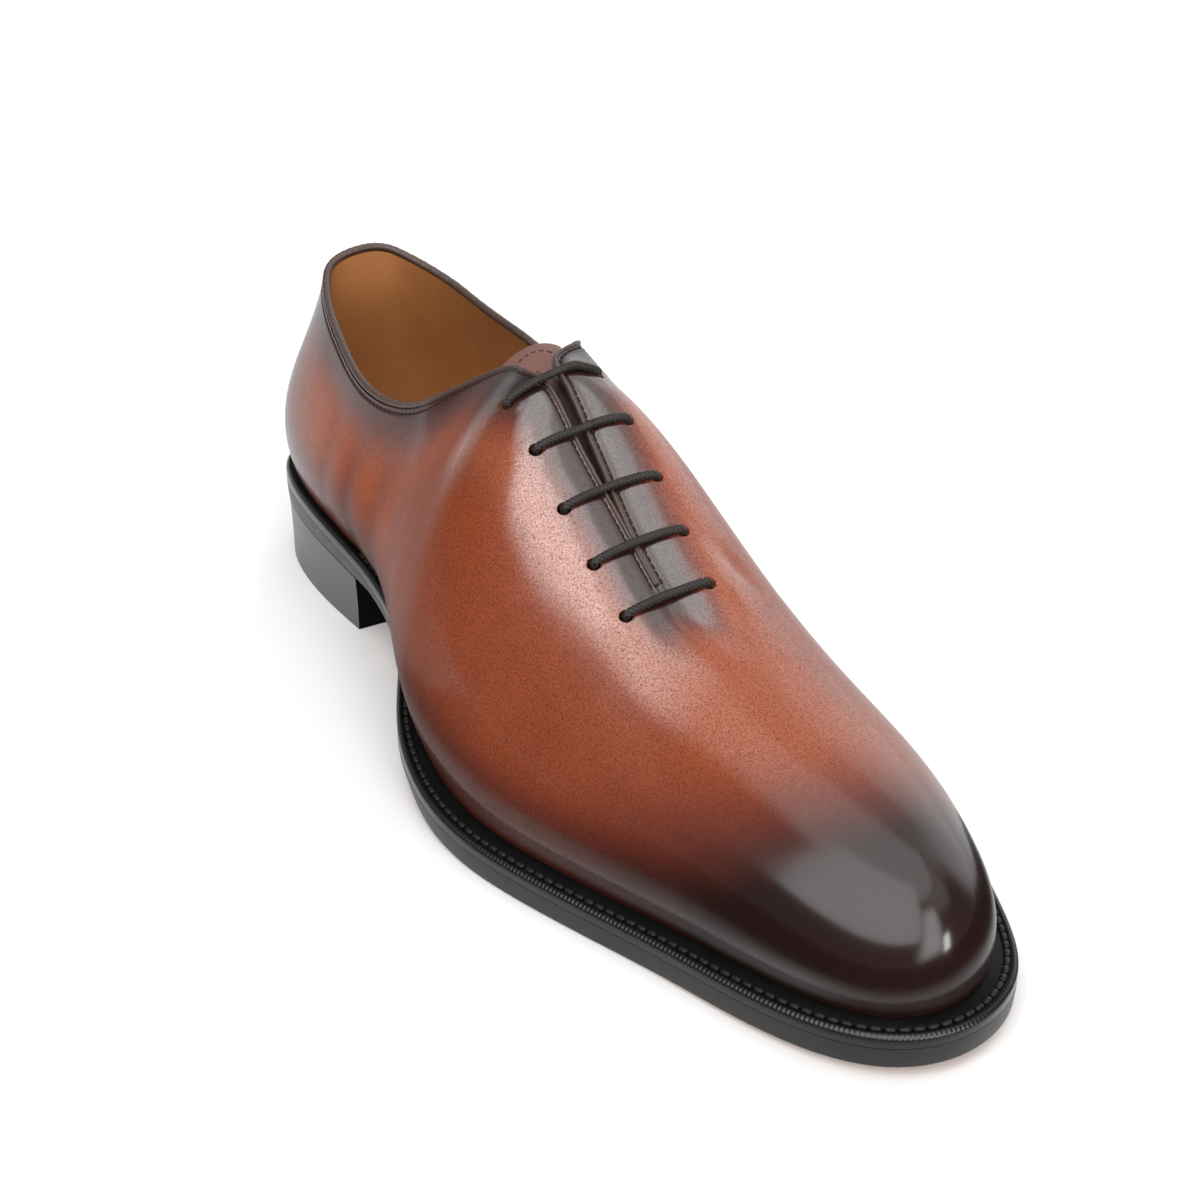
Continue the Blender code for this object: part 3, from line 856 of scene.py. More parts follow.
upper_s = stations_round(STATIONS_PER_ROW)
upper_v = np.concatenate(
    [np.linspace(0, EDGE_START, SIDE_LEVELS, endpoint=False), np.linspace(EDGE_START, 1, EDGE_LEVELS)]
)
upper_base = upper_surface(upper_s[:, None], upper_v[None, :])
upper_out = upper_normal(upper_s[:, None], upper_v[None, :])
upper_row = np.broadcast_to(row_of(upper_s)[:, None], upper_base.shape[:2])


def run_down(points):
    """Length along each section from every point to the upper edge, in millimetres."""
    step = np.linalg.norm(np.diff(points, axis=1), axis=-1)
    from_top = np.cumsum(step[:, ::-1], axis=1)[:, ::-1]
    return np.concatenate([from_top, np.zeros((len(points), 1))], axis=1)


below = run_down(upper_base)
above = below[:, :1] - below
slit = ease((upper_row - 4.8) / 0.25) * ease((7.06 - upper_row) / 0.1)
collar = 1 - ease((upper_row - 4.7) / 0.2)


def edge_relief():
    """The slit's edge turned down under its roll, and stitch grooves beside the roll and under the collar."""
    turned = -0.35 * (1 - ease(below / 1.2))
    groove = -0.3 * bump(below - SLIT_STITCH, 0.35)
    under_collar = -0.25 * bump(below - COLLAR_STITCH, 0.35)
    return slit * (turned + groove) + collar * under_collar


def eyelet_relief():
    """A rim round each hole, inside a shallow pulled hollow."""
    away = np.linalg.norm(upper_base[:, :, None, :] - eyelets[None, None], axis=-1)
    return (0.25 * bump(away - 2.6, 0.6) - 0.2 * bump(away, 5.0)).sum(axis=-1)


def fold_relief():
    """Main creases as soft troughs: (place, direction, half length, half width, depth), in shoe sizes."""
    folds = (
        ((190, 20, 64), (0.75, 0.45, -0.45), 9.0, 3.2, -0.9),
        ((196, 13, 64), (0.8, 0.3, -0.5), 8.0, 3.0, 0.45),
        ((203, -15, 60), (0.8, -0.4, -0.45), 8.0, 4.0, 0.3),
        ((57, -31, 48), (0.1, 0.0, 1.0), 16.0, 5.0, -0.45),
        ((73, -32, 44), (0.05, 0.0, 1.0), 18.0, 5.0, -0.6),
        ((92, -34, 44), (-0.15, 0.0, 1.0), 16.0, 6.0, -0.5),
        ((118, -41, 42), (-0.2, 0.0, 1.0), 14.0, 7.0, -0.35),
        ((70, 30, 48), (0.1, 0.0, 1.0), 16.0, 5.0, -0.4),
        ((95, 29, 46), (-0.1, 0.0, 1.0), 16.0, 6.0, -0.4),
    )
    total = np.zeros(upper_base.shape[:2])
    for middle, along, half_length, half_width, depth in folds:
        away = upper_base - np.array(middle, float)
        run = away @ unit(np.array(along, float))
        aside = np.sqrt(np.maximum((away**2).sum(-1) - run**2, 0))
        total += depth * bump(run, half_length) * bump(aside, half_width)
    return total


upper_relief = edge_relief() + pressed(upper_row, below) + eyelet_relief() + fold_relief()
upper_points = upper_base + upper_out * upper_relief[..., None]
print("relief of the upper, mm:", upper_relief.min().round(2), "to", upper_relief.max().round(2))

# %% [markdown]
# ## The upper: patina
# The calf is stained by hand. Light tan shows in the middle of the vamp and the flank, a dark polish covers
# the toe, the heel and the collar, the facings are nearly black along the slit, and a red-brown shadow runs
# along the welt. Each of these is a soft mask in shoe sizes. They are kept as two pairs of numbers for each
# point: how dark the stain and how glassy the polish is, and how much wax lies on it and how strong a painted
# reflection of the white floor is, laid as pale grey over the colour just above the welt.


# %% Patina of the upper
def toe_mask():
    """How far a point lies past a curved line across the toe, from 0 to 1 over the fade."""
    x, y = upper_base[..., 0], upper_base[..., 1]
    swing = np.where(y < 8, 0.0155, 0.008) * (y - 8) ** 2
    return ease((x + swing - 239) / 42)


def stain_masks():
    """Darkness of the stain from 0 (tan) to 1 (black-brown)."""
    x, y, z = np.moveaxis(upper_base, -1, 0)
    toe = toe_mask()
    welt_band = 0.62 * (1 - ease((above - 8) / np.interp(x, (40, 110, 160, 205), (20, 26, 24, 14))))
    heel = 0.75 * (1 - ease((x - 6) / 46))
    collar_reach = np.interp(upper_row, (0, 3, 4.5, 5.2), (15, 17, 24, 22))
    collar_shade = 0.85 * (1 - ease((below - 1) / collar_reach)) * (1 - ease((upper_row - 5.0) / 0.8))
    facing_reach = np.interp(upper_row, (4.6, 5.2, 5.8, 6.8, 7.2), (24.0, 22.0, 17.0, 13.0, 9.0))
    facing_on = ease((upper_row - 4.5) / 0.5) * ease((7.65 - upper_row) / 0.55)
    facing = 0.9 * facing_on * (1 - ease((below - 6) / facing_reach))
    streaks = sum(
        depth * bump(x - middle - 0.1 * (z - 45), width) * ease((z - 24) / 8) * ease((70 - z) / 14)
        for middle, width, depth in ((57, 4.0, 0.18), (73, 5.0, 0.3), (93, 6.0, 0.22), (112, 5.0, 0.12))
    )
    flank = 0.3 * (1 - ease((upper_v - 0.64) / 0.18)) * ease((upper_row - 3.5) / 1.5)
    flank = flank * ease((9 - upper_row) / 1.5)
    clear = 1.0
    for mask in (0.97 * toe, welt_band, heel, collar_shade, facing, streaks, flank):
        clear = clear * (1 - np.clip(mask, 0, 1))
    return 1 - clear


def wax_mask():
    """How much wax is on the leather: most beside the facings, at toe and heel, and just above the welt."""
    x, y = upper_base[..., 0], upper_base[..., 1]
    near = (1 - ease((below - 22) / 20)) * (1 - 0.5 * ease((y - 2) / 10))
    lacing = near * ease((upper_row - 4.7) / 0.5) * (1 - ease((upper_row - 7.1) / 1.3))
    lacing = lacing * (0.5 + 0.5 * ease((below - 2) / 2.5))
    vamp = 0.31 * ease((upper_row - 5.2) / 1.0)
    heel = 0.55 * (1 - ease((x - 25) / 60))
    foot = 0.4 * (1 - ease((above - 5) / 8)) * ease((upper_row - 4.5) / 1.5) * short_of_toe
    by_collar = np.interp(upper_row, (3.0, 4.2), (0.5, 0.25)) * (1 - ease((below - 4) / 20))
    by_collar = by_collar * (1 - ease((upper_row - 4.6) / 0.6))
    return np.maximum.reduce([lacing, vamp, heel, foot, by_collar, 0.33 * toe_mask()])


short_of_toe = 1 - 0.7 * ease((upper_row - 9.2) / 0.8)
# Painted reflection: a pale band just above the welt, where the white floor would be mirrored. It lightens
# the colour and is not wax.
painted_floor_reflection = ease((above - 1) / 2) * ease((9 - above) / 6) * ease((upper_row - 5.5) / 1.5) * short_of_toe
upper_stain = np.stack([stain_masks(), toe_mask()], axis=-1).reshape(-1, 2)
# The second number of the wax map is the painted floor reflection, not wax.
upper_wax_and_reflection = np.stack([wax_mask(), painted_floor_reflection], axis=-1).reshape(-1, 2)
print("mean stain:", upper_stain[:, 0].mean().round(2))

# %% [markdown]
# ## The upper: finish
# The depth of the stain picks one of four browns. Clouds and pores break it up, most where the leather is
# pale. A clear coat stands for the wax, and it is thinner over the open grain, so that reflections break up
# too. A toe that is polished to a mirror has hardly any grain left.

# %% Calf finish
TAN = (0.226, 0.05, 0.016)
CHESTNUT = (0.165, 0.034, 0.012)
RED_BROWN = (0.085, 0.017, 0.009)
BLACK_BROWN = (0.012, 0.0045, 0.004)
# Pale grey painted over the colour just above the welt: a painted reflection of the white floor.
FLOOR_REFLECTION_GREY = (0.1, 0.095, 0.095)


def calf_look(where):
    """Stain and polish with the leather's own clouding, pores and fine grain."""
    stain = stored(where, "patina")
    polish = stored(where, "patina", "Y")
    clouds = cloud(where, 26.0, 3.0) - 0.5
    blots = cloud(where, 7.0, 4.0, (1.0, 1.0, 0.6)) - 0.5
    pores = cloud(where, 0.3, 2.0) - 0.5
    depth = stain + (0.2 * clouds + 0.2 * blots + 0.45 * pores) * (1 - 0.75 * stain)
    stops = ((0.0, TAN), (0.3, CHESTNUT), (0.62, RED_BROWN), (0.95, BLACK_BROWN))
    stained = where.node("ShaderNodeValToRGB", {"stops": stops}, {0: depth})
    wax = stored(where, "wax")
    reflection_share = stored(where, "wax", "Y")
    # Painted reflection: pale grey laid over the stain just above the welt, where the white floor would be
    # mirrored.
    with_reflection = mixed(0.4 * reflection_share, stained, FLOOR_REFLECTION_GREY)
    grain = pebbles(where, 0.42) - 0.4 + pores
    shown = grain * (1 - 0.85 * polish)
    colour = where.node("ShaderNodeHueSaturation", None, {"Color": with_reflection, "Value": 1 - 0.8 * shown})
    return {
        "Base Color": colour,
        "Roughness": 0.38 - 0.1 * polish + 0.1 * blots,
        "Normal": raised(0 - shown, 0.06, 0.8),
        "Specular IOR Level": 0.07,
        "Coat Weight": wax * (0.98 - (1.5 - 1.1 * stain) * shown),
        "Coat Roughness": 0.15,
        "Coat IOR": 1.9,
    }


calf = make_finish("antiqued_calf", calf_look)

# %% [markdown]
# ## The upper: cutting out
# The grid becomes a sheet. Ahead of the slit its two edges are drawn onto one line and welded, and at the
# toe, where many short rows run together, they end in one point. A Solidify modifier gives the calf its
# thickness, and a Boolean punches the eyelets. The modifiers are applied and the slivers of the cut are
# welded, so the leather is one plain closed mesh.

# %% Upper leather
PUNCH_SIDES = 28
PUNCH_OVERLENGTH = 1.5
SLIT_CLOSES = 6.55
CREST_WELD = 4e-5
POLE_REACH = 1.5
SLIVER = 3e-6
SHARP = 0.7


def punch_mesh():
    """Short upright cylinders, one for each eyelet, with closed ends."""
    turn = 2 * np.pi * np.arange(PUNCH_SIDES) / PUNCH_SIDES
    radii = np.array([0.0, 1.0, 1.0, 0.0]) * EYELET_DIAMETER / 2
    ends = np.array([0, 0, 1, 1])
    points, faces = [], []
    for station, side in eyelet_places:
        low = eyelet_point(station, side, -WALL - PUNCH_OVERLENGTH)
        high = eyelet_point(station, side, PUNCH_OVERLENGTH)
        axis = unit(high - low)
        across = unit(np.cross(axis, (1.0, 0.0, 0.0)))
        circle = np.outer(np.cos(turn), across) + np.outer(np.sin(turn), np.cross(axis, across))
        middles = np.stack([low, high])[ends]
        ring = middles[:, None, :] + radii[:, None, None] * circle[None]
        faces.append(quads(len(radii), PUNCH_SIDES, wrap_columns=True) + sum(len(p) for p in points))
        points.append(ring.reshape(-1, 3))
    return turn_out(make_mesh("punch", to_frame(np.concatenate(points)), np.concatenate(faces)))


def heal(mesh):
    """Welds the slivers that a cut leaves, and counts the edges that don't join two faces."""
    with opened(mesh) as bm:
        bmesh.ops.remove_doubles(bm, verts=bm.verts, dist=SLIVER)
        bmesh.ops.triangulate(bm, faces=bm.faces)
        bmesh.ops.dissolve_degenerate(bm, edges=bm.edges, dist=SLIVER)
    sides = np.zeros(len(mesh.loops), np.int32)
    mesh.loops.foreach_get("edge_index", sides)
    print(mesh.name, "edges that don't join two faces:", (np.bincount(sides) != 2).sum())


def punch(piece):
    """Cuts the eyelets out of a piece and applies its modifiers."""
    cutter = link("punch", punch_mesh())
    cut = piece.modifiers.new("eyelets", "BOOLEAN")
    cut.operation = "DIFFERENCE"
    cut.solver = "EXACT"
    cut.object = cutter
    settle(piece)
    heal(piece.data)
    piece.data.set_sharp_from_angle(angle=SHARP)
    bpy.data.objects.remove(cutter)
    return piece


def close_crest(points):
    """Draws both edges onto one line past the slit, and what lies next to the crest's end into one point."""
    closed = np.flatnonzero(row_of(upper_s) > SLIT_CLOSES)
    seam = points[closed, -1]
    points[closed, -1] = (seam + seam[::-1]) / 2
    end = points[np.searchsorted(upper_s, TOE_ROW), -1].copy()
    points[np.linalg.norm(points - end, axis=-1) < POLE_REACH] = end


close_crest(upper_points)
upper_faces = quads(len(upper_s), len(upper_v), wrap_rows=True)
# The wax map holds the wax and, as its second number, the painted floor reflection.
upper_maps = {"patina": upper_stain, "wax": upper_wax_and_reflection}
upper_mesh = make_mesh("upper_leather", to_frame(upper_points), upper_faces, upper_maps, CREST_WELD)
upper = place(upper_mesh, calf, ("upper",))
punch(thicken(upper, LEATHER))
print("upper leather:", len(upper.data.polygons), "faces after punching")

# %% [markdown]
# ## Lining
# Inside the calf lies a thin tan lining. It is the same surface set inwards, on a coarser grid, and it is
# punched with the same eyelets.

# %% Lining
LINING = 0.6
LINING_STEPS_PER_ROW = 8
LINING_LEVELS = 46
HONEY = (0.36, 0.15, 0.045)


def lining_look(where):
    wear = cloud(where, 14.0, 3.0)
    pores = cloud(where, 0.7, 2.0)
    colour = mixed(wear, HONEY, (0.26, 0.095, 0.027))
    return {"Base Color": colour, "Roughness": 0.5 + 0.15 * wear, "Normal": raised(pores, 0.06, 0.5)}


tan_lining = make_finish("tan_lining", lining_look)


def lining_mesh():
    """The upper's surface, set inwards by the calf's thickness."""
    s = stations_round(LINING_STEPS_PER_ROW)
    v = np.linspace(0.01, 0.997, LINING_LEVELS)
    base = upper_surface(s[:, None], v[None, :])
    lift = pressed(row_of(s)[:, None], run_down(base)) - LEATHER - 0.12
    points = base + lift[..., None] * upper_normal(s[:, None], v[None, :])
    return make_mesh("quarter_lining", to_frame(points), quads(len(s), len(v), wrap_rows=True))


lining = place(lining_mesh(), tan_lining)
punch(thicken(lining, LINING))

# %% [markdown]
# ## Outsole
# The outsole is one profile carried round the edge. The profile starts on the sole's middle line, runs out
# over the top, down the edge and back under to the middle line, so both sides close where they meet. The
# edge is dressed black, and the underside stays natural leather.

# %% Sole surfaces
SOLE_STEPS_PER_ROW = 30


def carried(s, profile):
    """Points of a profile at every station: each entry is (share to the middle line, inset, height)."""
    rings = []
    for share, inset, height in profile:
        edge = inset_edge(s, inset)
        middle = (edge + inset_edge(-s, inset)) / 2
        rings.append(on_sole(edge * (1 - share) + middle * share, height))
    return np.stack(rings, axis=1)


def crisp(mesh):
    """Lets a mesh's sharp edges look sharp."""
    mesh.set_sharp_from_angle(angle=SHARP)
    return mesh


def closed_loft(name, s, profile):
    """A closed body: the profile carried once round the edge, welded along the middle line."""
    return crisp(closed_mesh(name, carried(s, profile), wrap_rows=True))


def rounded(inset, top, bottom, cut, radius, steps=5):
    """Profile of an edge with round corners: a quarter turn at the top, a slant, a quarter turn below."""
    turn = np.linspace(0, np.pi / 2, steps)
    upper_corner = [(0, inset + radius * (1 - np.sin(a)), top - radius * (1 - np.cos(a))) for a in turn]
    lower_corner = [
        (0, inset + cut + radius * (1 - np.cos(a)), bottom + radius * (1 - np.sin(a))) for a in turn
    ]
    return upper_corner + lower_corner


full_s = np.arange(TURN * SOLE_STEPS_PER_ROW) / SOLE_STEPS_PER_ROW


def outsole_profile(s):
    inner = feather_inset(s) + 8
    across = (1.0, 0.75, 0.5, 0.25, 0.0)
    top = [(share, inner, OUTSOLE_THICKNESS) for share in across]
    bottom = [(share, inner, 0.0) for share in across[::-1]]
    corner = [(0, 0.15, OUTSOLE_THICKNESS), (0, 0.0, OUTSOLE_THICKNESS - 0.05)]
    edge = rounded(0.0, 4.0, 0.0, undercut(s), 0.7)[4:]
    return top + corner + edge + bottom


# %% Outsole
EDGE_BLACK = (0.0025, 0.0024, 0.0024)
SOLE_TAN = (0.5, 0.27, 0.13)


def outsole_look(where):
    """Black dressed edge, natural tan underneath: the faces that look down are tan, inside a dark rim."""
    facing = where.node("ShaderNodeNewGeometry", output="Normal")
    under = fade(part(facing, "Z"), -0.85, -0.97)
    fibres = cloud(where, 3.0, 4.0, (0.4, 1.0, 1.0))
    scuffs = cloud(where, 18.0, 3.0)
    bottom = mixed(0.6 * fibres + 0.4 * scuffs, SOLE_TAN, (0.4, 0.2, 0.09))
    colour = mixed(under, EDGE_BLACK, bottom)
    gloss = 0.34 + 0.12 * fibres + 0.16 * under
    return {"Base Color": colour, "Roughness": gloss, "Normal": raised(fibres, 0.05, 0.35)}


sole_leather = make_finish("sole_leather", outsole_look)
outsole_mesh = closed_loft("outsole_leather", full_s, outsole_profile(full_s))
place(outsole_mesh, sole_leather, ("outsole",))

# %% [markdown]
# ## Insole
# The insole is the board that the foot stands on. It is carried round in the same way as the outsole, inside
# the upper's wall, and has the lining's finish.

# %% Insole
INSOLE_RISE = 2.5


def insole_profile(s):
    inner = feather_inset(s) + 8
    seat = SOLE_EDGE + GAP
    board = feather_inset(s) + WALL + 2 * GAP
    across = (1.0, 0.8, 0.6, 0.4, 0.2, 0.0)
    top = [(share, inner, seat + INSOLE_RISE) for share in across]
    bottom = [(share, inner, seat) for share in across[::-1]]
    return top + rounded(board, seat + INSOLE_RISE, seat, 0.0, 0.5) + bottom


insole_mesh = closed_loft("insole_sock", full_s, insole_profile(full_s))
place(insole_mesh, tan_lining, ("insole",))

# %% [markdown]
# ## Heel
# The heel is a stack of leather, trimmed to the sole's outline, a little hollow down its side, and cut off
# by its straight front, the breast. Black dressing hides the layers and shines where it is waxed.

# %% Heel
HEEL_BREAST_X = 71.0
HEEL_TAPER = 0.3
HEEL_LEVELS = 20
HEEL_SIDE_STEPS = 70
BREAST_STEPS = 24


def heel_mesh():
    """Side from breast to breast round the back, then the straight breast, at levels from seat to floor."""
    start = station_at_edge(HEEL_BREAST_X, medial=True) - TURN
    end = station_at_edge(HEEL_BREAST_X, medial=False)
    s = np.concatenate([np.linspace(0, end, HEEL_SIDE_STEPS), np.linspace(start, 0, HEEL_SIDE_STEPS)[:-1]])
    inset = undercut(s) + 0.15
    seat = sole_point(s, inset, -GAP + 0.25)
    foot = sole_point(s, inset + HEEL_TAPER, 0.0)
    foot[:, 2] = 0
    foot[:, 0] = np.minimum(foot[:, 0], HEEL_BREAST_X - HEEL_TAPER)
    down = np.linspace(0, 1, HEEL_LEVELS)[:, None, None]
    waist = 0.2 * np.sin(np.pi * down) * np.concatenate([outward(s), np.zeros((len(s), 1))], axis=1)
    sides = seat * (1 - down) + foot * down - waist
    loop = np.roll(sides, -HEEL_SIDE_STEPS, axis=1)
    breast = loop[:, -1:] + (loop[:, :1] - loop[:, -1:]) * np.linspace(0, 1, BREAST_STEPS)[None, 1:-1, None]
    rings = np.concatenate([loop, breast], axis=1)
    middle = rings.mean(axis=1, keepdims=True)
    shares = np.array([1.0, 0.6, 0.3, 0.05, 0.015])[:, None, None]
    top = rings[:1] * (1 - shares) + middle[:1] * shares
    bottom = rings[-1:] * (1 - shares[::-1]) + middle[-1:] * shares[::-1]
    top[..., 2] = underside(top[..., 0]) - GAP + 0.25
    return crisp(closed_mesh("heel_stack", np.concatenate([top, rings, bottom]), wrap_columns=True))


def dressed_look(where, roughness, stretch, coat_ior):
    """Black edge dressing over leather: waxed, but dull where faces look up or, under the arch, ahead."""
    brushed = cloud(where, 1.2, 3.0, stretch)
    worn = cloud(where, 12.0, 3.0)
    colour = mixed(worn, EDGE_BLACK, (0.005, 0.0048, 0.0046))
    facing = where.node("ShaderNodeNewGeometry", output="Normal")
    under_arch = fade(part(facing, "X"), 0.7, 0.95) * fade(part(where, "X"), 0.0, -0.02)
    waxed = (1 - fade(part(facing, "Z"), 0.75, 0.95)) * (1 - under_arch)
    return {
        "Base Color": colour,
        "Roughness": roughness + 0.1 * brushed,
        "Normal": raised(brushed, 0.06, 0.3),
        "Specular IOR Level": 0.04,
        "Coat Weight": waxed * 0.9,
        "Coat Roughness": roughness,
        "Coat IOR": coat_ior,
    }


heel_black = make_finish("heel_dressing", dressed_look, 0.42, (0.3, 0.3, 2.0), 2.1)
place(heel_mesh(), heel_black, ("heel",))

# %% [markdown]
# ## Welt
# The welt is the strip that the upper and the outsole are both sewn to. Its top carries a row of lockstitches
# in a shallow groove, and its outer corner is wheeled: a hot toothed wheel leaves fine ribs that catch the
# light. The strip is sampled by length along the edge, so that ribs and stitches keep an even pitch.

# %% Welt
RIB_PITCH = 1.15
RIB_DEPTH = 0.14
RIB_SAMPLES = 4
RAND_STEP = 1.5
WELT_REACH = 6.0
WELT_BEVEL = 1.2
STITCH_INSET = 2.6
GROOVE_DEPTH = 0.45


def even_stations(start, end, spacing):
    """Stations at an even distance along the sole's edge, and that distance from the start."""
    fine = np.linspace(start, end, 6000)
    run = run_along(sole_edge(fine))
    lengths = np.linspace(0, run[-1], int(round(run[-1] / spacing)) + 1)
    return np.interp(lengths, run, fine), lengths


def strip_mesh(name, start, end, spacing, ribs):
    """A closed profile carried along the edge, with ribs on its bevel, drawn to a point in each end face."""
    s, run = even_stations(start, end, spacing)
    inner = feather_inset(s) + WELT_REACH
    low, high = OUTSOLE_THICKNESS + 0.05, SOLE_EDGE
    rib = ribs * RIB_DEPTH * np.cos(2 * np.pi * run / RIB_PITCH)
    groove = ribs * GROOVE_DEPTH
    corner = WELT_BEVEL
    profile = (
        (inner, low),
        (0.15, low),
        (0.0, low + 0.05),
        (0.0, low + 1.0),
        (0.0, high - corner - 0.1),
        (0.1 * corner - 0.6 * rib, high - 0.8 * corner),
        (0.4 * corner - rib, high - 0.4 * corner),
        (0.8 * corner - 0.6 * rib, high - 0.1 * corner),
        (corner + 0.1, high),
        (STITCH_INSET - 1.0, high),
        (STITCH_INSET - 0.6, high - 0.7 * groove),
        (STITCH_INSET, high - groove),
        (STITCH_INSET + 0.6, high - 0.7 * groove),
        (STITCH_INSET + 1.0, high),
        (inner, high),
    )
    rings = np.stack([sole_point(s, inset, height) for inset, height in profile], axis=1)
    return crisp(tube(name, rings, rings.mean(axis=1)))


welt_start = station_at_edge(HEEL_BREAST_X, medial=False)
welt_end = station_at_edge(HEEL_BREAST_X, medial=True)
welt_black = make_finish("welt_dressing", dressed_look, 0.3, (1.0, 1.0, 1.0), 1.5)
welt_mesh = strip_mesh("welt_strip", welt_start, welt_end, RIB_PITCH / RIB_SAMPLES, 1.0)
rand_mesh = strip_mesh("heel_rand_strip", welt_end - TURN, welt_start, RAND_STEP, 0.0)
place(welt_mesh, welt_black, ("welt",))
place(rand_mesh, welt_black, ("heel_rand",))

# %% [markdown]
# ## Stitches
# A stitch is a short thread that dips into the leather at both ends. Hundreds of them are one joined mesh:
# every stitch has a place, a direction and an up vector, and one small bead of rings is put at all of them
# at once.

# %% Stitches
BEAD_RINGS = 7
BEAD_SIDES = 6


def bead_mesh(name, places, along, up, size):
    """Beads with these half sizes. At t from -1 to 1 along a bead its radius is the root of 1 - t^4."""
    t = np.linspace(-1, 1, BEAD_RINGS)
    radius = np.sqrt(1 - t**4)
    turn = 2 * np.pi * np.arange(BEAD_SIDES) / BEAD_SIDES
    along = unit(along)
    across = unit(np.cross(along, up))
    up = np.cross(across, along)
    long, wide, tall = size
    points = (
        places[:, None, None, :]
        + along[:, None, None, :] * long * t[None, :, None, None]
        + across[:, None, None, :] * wide * (radius[:, None] * np.cos(turn))[None, :, :, None]
        + up[:, None, None, :] * tall * (radius[:, None] * np.sin(turn))[None, :, :, None]
    )
    one = quads(BEAD_RINGS, BEAD_SIDES, wrap_columns=True)
    faces = one[None] + (np.arange(len(places)) * BEAD_RINGS * BEAD_SIDES)[:, None, None]
    return turn_out(make_mesh(name, to_frame(points), faces.reshape(-1, 4)))


def sampled(vectors, places, at):
    """Vectors that are known at some places, read off at others."""
    return np.stack([np.interp(at, places, vectors[:, k]) for k in range(3)], axis=-1)


def evenly(path, pitch):
    """Places every pitch millimetres along a path, with the direction there, and the share along it."""
    run = run_along(path)
    at = np.arange(pitch / 2, run[-1], pitch)
    behind, here, ahead = (sampled(path, run, at + shift) for shift in (-0.2, 0.0, 0.2))
    return here, ahead - behind, at / run[-1]


def thread_look(where, colour, roughness):
    twist = cloud(where, 0.5, 2.0)
    tone = mixed(twist, colour, tuple(2.2 * c for c in colour))
    return {"Base Color": tone, "Roughness": roughness + 0.15 * twist, "Specular IOR Level": 0.2}


black_thread = make_finish("black_thread", thread_look, (0.006, 0.0055, 0.0055), 0.4)
dark_thread = make_finish("dark_thread", thread_look, (0.016, 0.009, 0.008), 0.5)

WELT_STITCH_PITCH = 3.1
WELT_STITCH = (1.45, 0.85, 0.6)
welt_path_s, _ = even_stations(welt_start + 0.05, welt_end - 0.05, 0.5)
welt_path = sole_point(welt_path_s, STITCH_INSET, SOLE_EDGE - GROOVE_DEPTH + 0.3)
stitch_places, stitch_along, _ = evenly(welt_path, WELT_STITCH_PITCH)
stitch_up = np.tile([0.0, 0.0, 1.0], (len(stitch_places), 1))
welt_seam = bead_mesh("welt_stitches", stitch_places, stitch_along, stitch_up, WELT_STITCH)
place(welt_seam, black_thread)

# %% [markdown]
# ## Stitch lines of the upper
# One row of small stitches runs under the collar, and one down each side of the slit. Each lies at a fixed
# distance below the edge, measured along the leather, in the groove that was pressed there.


# %% Stitch lines of the upper
def on_upper(stations, down, lift):
    """Places so far below the upper's edge at each station, lifted from the leather, and the normal there."""
    v = np.linspace(1, 0.6, 80)
    line = upper_surface(stations[:, None], v[None, :])
    steps = np.linalg.norm(np.diff(line, axis=1), axis=-1)
    run = np.concatenate([np.zeros((len(stations), 1)), np.cumsum(steps, axis=1)], axis=1)
    at = np.array([np.interp(down, r, v) for r in run])
    out = upper_normal(stations, at)
    lift = lift + pressed(row_of(stations), down)
    return upper_surface(stations, at) + out * lift[:, None], out


UPPER_STITCH = (0.85, 0.24, 0.2)
UPPER_STITCH_PITCH = 2.2


def stitch_line(name, stations, down, lift):
    path, out = on_upper(stations, down, lift)
    places, along, share = evenly(path, UPPER_STITCH_PITCH)
    up = unit(sampled(out, np.linspace(0, 1, len(stations)), share))
    place(bead_mesh(name, places, along, up, UPPER_STITCH), dark_thread)


slit_span = np.linspace(4.98, 6.96, 160)
stitch_line("collar_stitches", np.linspace(-4.9, 4.9, 500), COLLAR_STITCH, -0.1)
stitch_line("lateral_slit_stitches", slit_span, SLIT_STITCH, -0.15)
stitch_line("medial_slit_stitches", TURN - slit_span, SLIT_STITCH, -0.15)

# %% [markdown]
# ## Collar binding
# The collar ends in a thin strip of calf rolled over the edge. The same strip turns the corner at the top of
# the facings and runs down the slit as a narrow bead. It is an oval profile carried along the edge, a little
# uneven where it was drawn tight. Over the collar it sits on the edge, and along the slit on the leather.

# %% Collar binding
BINDING_WIDTH = 2.4
BINDING_HEIGHT = 2.0
BEAD_WIDTH = 2.3
BEAD_HEIGHT = 1.3
BEAD_END_ROW = 6.97
BINDING_SECTIONS = 1100
BINDING_SIDES = 18


